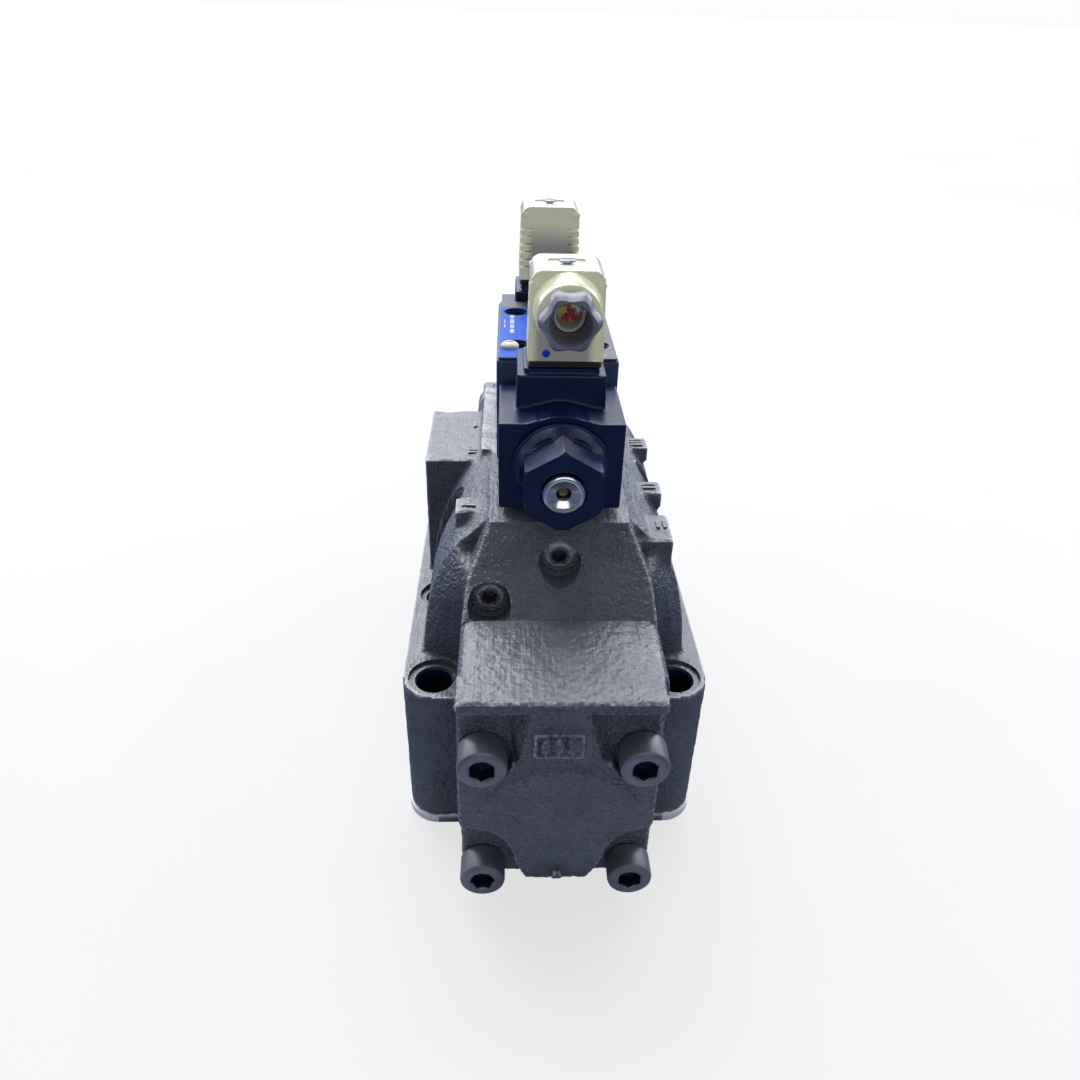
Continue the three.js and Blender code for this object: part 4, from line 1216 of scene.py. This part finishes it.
def connector_housing():
    x = (-HOUSE_X, HOUSE_X)
    bottom, top = HOUSE[2]
    narrow = 0.75  # the housing draws in this much at each side towards its top
    front, back = HOUSE_FRONT, HOUSE_BACK
    face = [(x[0], bottom), (x[1], bottom)]
    radius = 4.2
    right = x[1] - narrow - radius
    for middle_x, start in ((right, 0), (-right, 90)):
        for i in range(9):
            angle = math.radians(start + 90 * i / 8)
            level = top - radius + radius * math.sin(angle)
            face.append((middle_x + radius * math.cos(angle), level))
    parts = [prism("y", face, (front, back))]
    collar = [(11.8, front + 2), (11.5, front - 1), (11.1, COLLAR_END + 3), (10.6, COLLAR_END)]
    parts.append(turned("y", collar, (0, GLAND_Z), 64))
    # Oval bumps at the front and back shoulders.
    for side in (-1, 1):
        parts.append(ball((2.2, 1.2, 1.3), (side * 10.6, front - 0.1, top - 4.6)))
        parts.append(ball((2.2, 1.0, 1.4), (side * 10.6, back - 0.6, top - 3.4)))
    shell = moulded(joined(parts), 0.4, 2)
    # The back: a sunk panel between corner posts, with ribs down both sides.
    cut(shell, prism("y", rounded((-6.4, 6.4), (bottom + 3, top - 6), 1.2, 4), (back - 0.55, FAR)))
    for side in (-1, 1):
        for i in range(6):
            level = bottom + 5 + i * 3.2
            groove = rounded((level, level + 1.1), (back - 2.2, back + 1), 0.4, 3)
            tool = prism("x", [(b, a) for a, b in groove], sorted((side * 7.6, side * 20)))
            cut(shell, tool)
            outer = sorted((side * 12.15, side * 16))
            cut(shell, bevelled(box(outer, (back - 9, back - 1.5), (level, level + 1.1)), 0.2, 1))
    # The top: a long recess with the screw in it.
    recess = rounded((-6.5, 6.5), (PLUG_Y - 4.4, PLUG_Y + 4.4), 2, 5)
    cut(shell, prism("z", recess, (top - 0.5, FAR)))
    inner = prism("z", rounded((x[0] + 2, x[1] - 2), (front + 2, back - 2), 1, 3), (0, top - 3.5))
    cut(shell, inner)
    cut(shell, rod("y", 7, (-FAR, front + 3), (0, GLAND_Z), 48))
    cut(shell, rod("z", SCREW_HOLE, (0, FAR), (0, PLUG_Y), 24))
    on_connector("connector_housing_*", shell, "connector_plastic", "ivory")
    profile = [(1.25, front - 0.12), (1.4, front - 0.05), (1.4, front + 0.6)]
    dot = turned("y", profile, (-6.7, bottom + 2.9), 32)
    on_connector("paint_dot_*", dot, "plate", "blue_dot", nodes=())


def connector_inside():
    x, y, z = span("terminal_insert_front")
    x = (x[0] - PLUG_X, x[1] - PLUG_X)
    insert = bevelled(prism("z", rounded(x, y, 1.2, 3), z), 0.3, 2)
    for side in (-1, 1):
        mid = side * TERMINAL_X
        cut(insert, box((mid - 0.9, mid + 0.9), (PLUG_Y - 3.45, PLUG_Y + 3.45), (0, 190.6)))
        # A clamping screw head stands on each terminal.
        head = [(2.2, z[1] - 1), (2.2, z[1] + 1.2), (1.8, z[1] + 1.6)]
        add(insert, turned("z", head, (side * 6.2, PLUG_Y - 4.4), 24))
    cut(insert, box((-3.45, 3.45), (-29.5, -27.7), (0, 190.6)))
    cut(insert, rod("z", SCREW_HOLE, (0, FAR), (0, PLUG_Y), 24))
    on_connector("terminal_insert_*", insert, "grey_plastic", "insert")
    x, y, z = span("connector_gasket_front")
    x = (x[0] - PLUG_X, x[1] - PLUG_X)
    lip = [(z[0], 0.35), (z[0] + 0.5, 0), (z[0] + 0.95, 0.3), (z[0] + 1.4, 0), (z[1], 0.35)]
    outlines = [(h, rounded((x[0] + d, x[1] - d), (y[0] + d, y[1] - d), 1.6, 4)) for h, d in lip]
    gasket = tapered("z", outlines)
    opening = rounded((x[0] + 2.8, x[1] - 2.8), (y[0] + 2.8, y[1] - 2.8), 0.8, 4)
    cut(gasket, prism("z", opening, (0, FAR)))
    both_ends("connector_gasket_*", gasket, PILOT_Y, "rubber", "rubber", shift=PLUG_X)
    z = span("connector_screw_front")[2]
    head = HOUSE[2][1] + GAP
    profile = [(1, z[0]), (1.4, z[0] + 0.5)]
    for i in range(10):
        along = z[0] + 0.5 + 0.6 * i
        profile += [(1.4, along + 0.1), (1.1, along + 0.3), (1.4, along + 0.5)]
    profile += [(1.4, head), (2.9, head + 0.01), (2.9, z[1] - 0.2), (2.6, z[1])]
    screw = turned("z", profile, (0, PLUG_Y), 32)
    cut(screw, box((-4, 4), (PLUG_Y - 0.4, PLUG_Y + 0.4), (z[1] - 0.45, FAR)))
    on_connector("connector_screw_*", screw, "steel", "spring", soft=0.5)


def gland():
    y = span("gland_nut_front")[1]
    back = COLLAR_END - GAP
    # Six rounded lobes with slightly hollow sides between them.
    outlines = []
    stages = [(back, 0.97), (back - 0.6, 1.0), (back - 4.2, 1.0), (back - 5.6, 0.93), (y[0], 0.84)]
    for along, size in stages:
        ring = []
        for i in range(96):
            angle = 2 * math.pi * i / 96
            lobe = 0.5 + 0.5 * math.cos(6 * angle)
            radius = (8.95 + 1.38 * lobe**1.2) * size
            ring.append((radius * math.cos(angle), GLAND_Z + radius * math.sin(angle)))
        outlines.append((along, ring))
    nut = tapered("y", outlines)
    add(nut, turned("y", [(6.7, back - 1), (6.7, COLLAR_END + 4.5)], (0, GLAND_Z)))
    cut(nut, turned("y", [(5.5, -FAR), (5.5, FAR)], (0, GLAND_Z)))
    mouth = [(7.3, y[0] - 0.5), (6.8, y[0] + 0.5), (6.5, y[0] + 1.5), (5.5, y[0] + 8)]
    cut(nut, turned("y", mouth, (0, GLAND_Z)))
    on_connector("gland_nut_*", nut, "grey_plastic", "grey_plastic")
    y = span("cable_sleeve_front")[1]
    profile = [(5.2, y[1]), (5.2, y[0] + 0.4), (5.0, y[0] + 0.1), (4.65, y[0])]
    profile += [(4.3, y[0] + 0.1), (4.1, y[0] + 0.4), (4.1, y[1])]
    sleeve = turned("y", profile, (0, GLAND_Z), 48, closed=True)
    on_connector("cable_sleeve_*", sleeve, "white_plastic", "white_plastic")
    cores = [("red", 0.5, 0.7, 0.3), ("red", 1.9, -1.1, -0.25)]
    cores += [("yellow", -1.9, 1.3, 0.3), ("red", -0.9, -1.7, -0.2)]
    for number, (colour, cx, cz, lean) in enumerate(cores):
        rings = []
        for i in range(8):
            along = y[0] + 0.8 + number * 0.6 + i * 1.2
            centre = (cx + lean * math.sin(i * 0.8), GLAND_Z + cz + 0.3 * math.cos(i * 0.7))
            rings.append((along, circle(1.15, centre, 16)))
        core = tapered("y", rings)
        on_connector(f"cable_core_*_{number + 1}", core, "white_plastic", colour, nodes=())


# ---------------------------------------------------------------- build

main_body()
end_cover()
cover_screws()
plugs()
inner_parts()
springs()
pilot_valve()
coil()
core_tube()
coil_nut()
connector_housing()
connector_inside()
gland()


# ---------------------------------------------------------------- floor, light and camera


def floor():
    bm = bmesh.new()
    bmesh.ops.create_grid(bm, x_segments=1, y_segments=1, size=30)
    made = shape_of(bm)
    made.name = "floor"
    made.location.z = -0.0001
    ground = Surface("floor_paint", (0.12, 0.12, 0.12), (0.11, 0.11, 0.11), mottle=3, rough=(0.8, 0.9))
    # The valve sees the floor darker than the camera does, which keeps its front faces deep.
    tree = ground.tree
    dim = ground.node("BsdfDiffuse")
    away = ground.node("VectorMath", operation="DISTANCE")
    ground.link(ground.place, away.inputs[0])
    away.inputs[1].default_value = (0, -0.19, 0)
    # A pale patch in front of the cover throws light up its face.
    pool = ground.range(away.outputs["Value"], 0.06, 0.15, 1, 0)
    ground.link(ground.mix(pool, (0.07, 0.095, 0.17), (0.46, 0.52, 0.66)), dim.inputs["Color"])
    both = ground.node("MixShader")
    ground.link(ground.node("LightPath").outputs["Is Camera Ray"], both.inputs[0])
    ground.link(dim.outputs[0], both.inputs[1])
    even = ground.node("Emission")
    even.inputs["Color"].default_value = (0.71, 0.71, 0.715, 1)
    pale = ground.node("AddShader")
    ground.link(even.outputs[0], pale.inputs[0])
    ground.link(ground.shader.outputs[0], pale.inputs[1])
    ground.link(pale.outputs[0], both.inputs[2])
    ground.link(both.outputs[0], tree.nodes["Material Output"].inputs["Surface"])
    made.data.materials.append(ground.material)


def softbox(name, place, target, size, power):
    data = bpy.data.lights.new(name, "AREA")
    data.shape = "RECTANGLE"
    data.size, data.size_y = size
    data.energy = power
    made = bpy.data.objects.new(name, data)
    scene.collection.objects.link(made)
    made.location = place
    made.rotation_euler = (Vector(target) - Vector(place)).to_track_quat("-Z", "Y").to_euler()


def sunlight(strength, angle, direction):
    """One broad overhead light, even over the whole floor."""
    data = bpy.data.lights.new("overhead", "SUN")
    data.energy, data.angle = strength, angle
    made = bpy.data.objects.new("overhead", data)
    scene.collection.objects.link(made)
    made.rotation_euler = Vector(direction).to_track_quat("-Z", "Y").to_euler()


def surroundings():
    """A pale room: bright overhead, dimmer towards the floor, near white to the camera."""
    world = bpy.data.worlds.new("studio")
    scene.world = world
    world.use_nodes = True
    nodes, links = world.node_tree.nodes, world.node_tree.links
    nodes.clear()
    direction = nodes.new("ShaderNodeTexCoord")
    split = nodes.new("ShaderNodeSeparateXYZ")
    ramp = nodes.new("ShaderNodeValToRGB")
    stops = ((0.0, (0.45, 0.55, 0.85, 1)), (0.14, (1.2, 1.35, 1.65, 1)), (0.45, (0.9, 0.93, 1.0, 1)))
    ramp.color_ramp.elements.new(0.5)
    for element, (place, colour) in zip(ramp.color_ramp.elements, stops):
        element.position, element.color = place, colour
    behind = nodes.new("ShaderNodeMapRange")
    for socket, value in zip(list(behind.inputs)[1:5], (-0.35, 0.6, 0.15, 1.6)):
        socket.default_value = value
    seen = nodes.new("ShaderNodeBackground")
    seen.inputs["Color"].default_value = (0.97, 0.97, 0.975, 1)
    lit = nodes.new("ShaderNodeBackground")
    path = nodes.new("ShaderNodeLightPath")
    mix = nodes.new("ShaderNodeMixShader")
    out = nodes.new("ShaderNodeOutputWorld")
    links.new(direction.outputs["Generated"], split.inputs[0])
    links.new(split.outputs["Z"], ramp.inputs["Fac"])
    links.new(split.outputs["Y"], behind.inputs[0])
    links.new(behind.outputs[0], lit.inputs["Strength"])
    links.new(ramp.outputs["Color"], lit.inputs["Color"])
    links.new(path.outputs["Is Camera Ray"], mix.inputs["Fac"])
    links.new(lit.outputs[0], mix.inputs[1])
    links.new(seen.outputs[0], mix.inputs[2])
    links.new(mix.outputs[0], out.inputs["Surface"])


def camera():
    """In front of the valve and above it, a little to its left, tilted down."""
    yaw, pitch, roll = 0.044, 0.564, 0.029
    forward = Vector(
        (math.sin(yaw) * math.cos(pitch), math.cos(yaw) * math.cos(pitch), -math.sin(pitch))
    )
    level = Vector((math.cos(yaw), -math.sin(yaw), 0))
    upright = level.cross(forward)
    right = math.cos(roll) * level + math.sin(roll) * upright
    up = right.cross(forward)
    data = bpy.data.cameras.new("camera")
    data.lens = 28.37
    data.sensor_width = 36
    data.clip_start, data.clip_end = 0.01, 100
    made = bpy.data.objects.new("camera", data)
    scene.collection.objects.link(made)
    place = Vector((-18.2, -324.1, 286.2)) * MM
    made.matrix_world = Matrix.Translation(place) @ Matrix((right, up, -forward)).transposed().to_4x4()
    scene.camera = made


floor()
surroundings()
sunlight(2.6, 0.84, (0.12, -0.76, -1))
softbox("rear_left", (-0.9, 0.9, 0.7), (0, 0, 0.1), (0.6, 0.9), 6)
softbox("rear_right", (0.9, 0.8, 0.7), (0, 0, 0.1), (0.6, 0.9), 6)
softbox("front_fill", (0.1, -1.2, 0.5), (0, -0.1, 0.08), (1.0, 0.5), 2.4)
camera()
scene.view_settings.view_transform = "Standard"
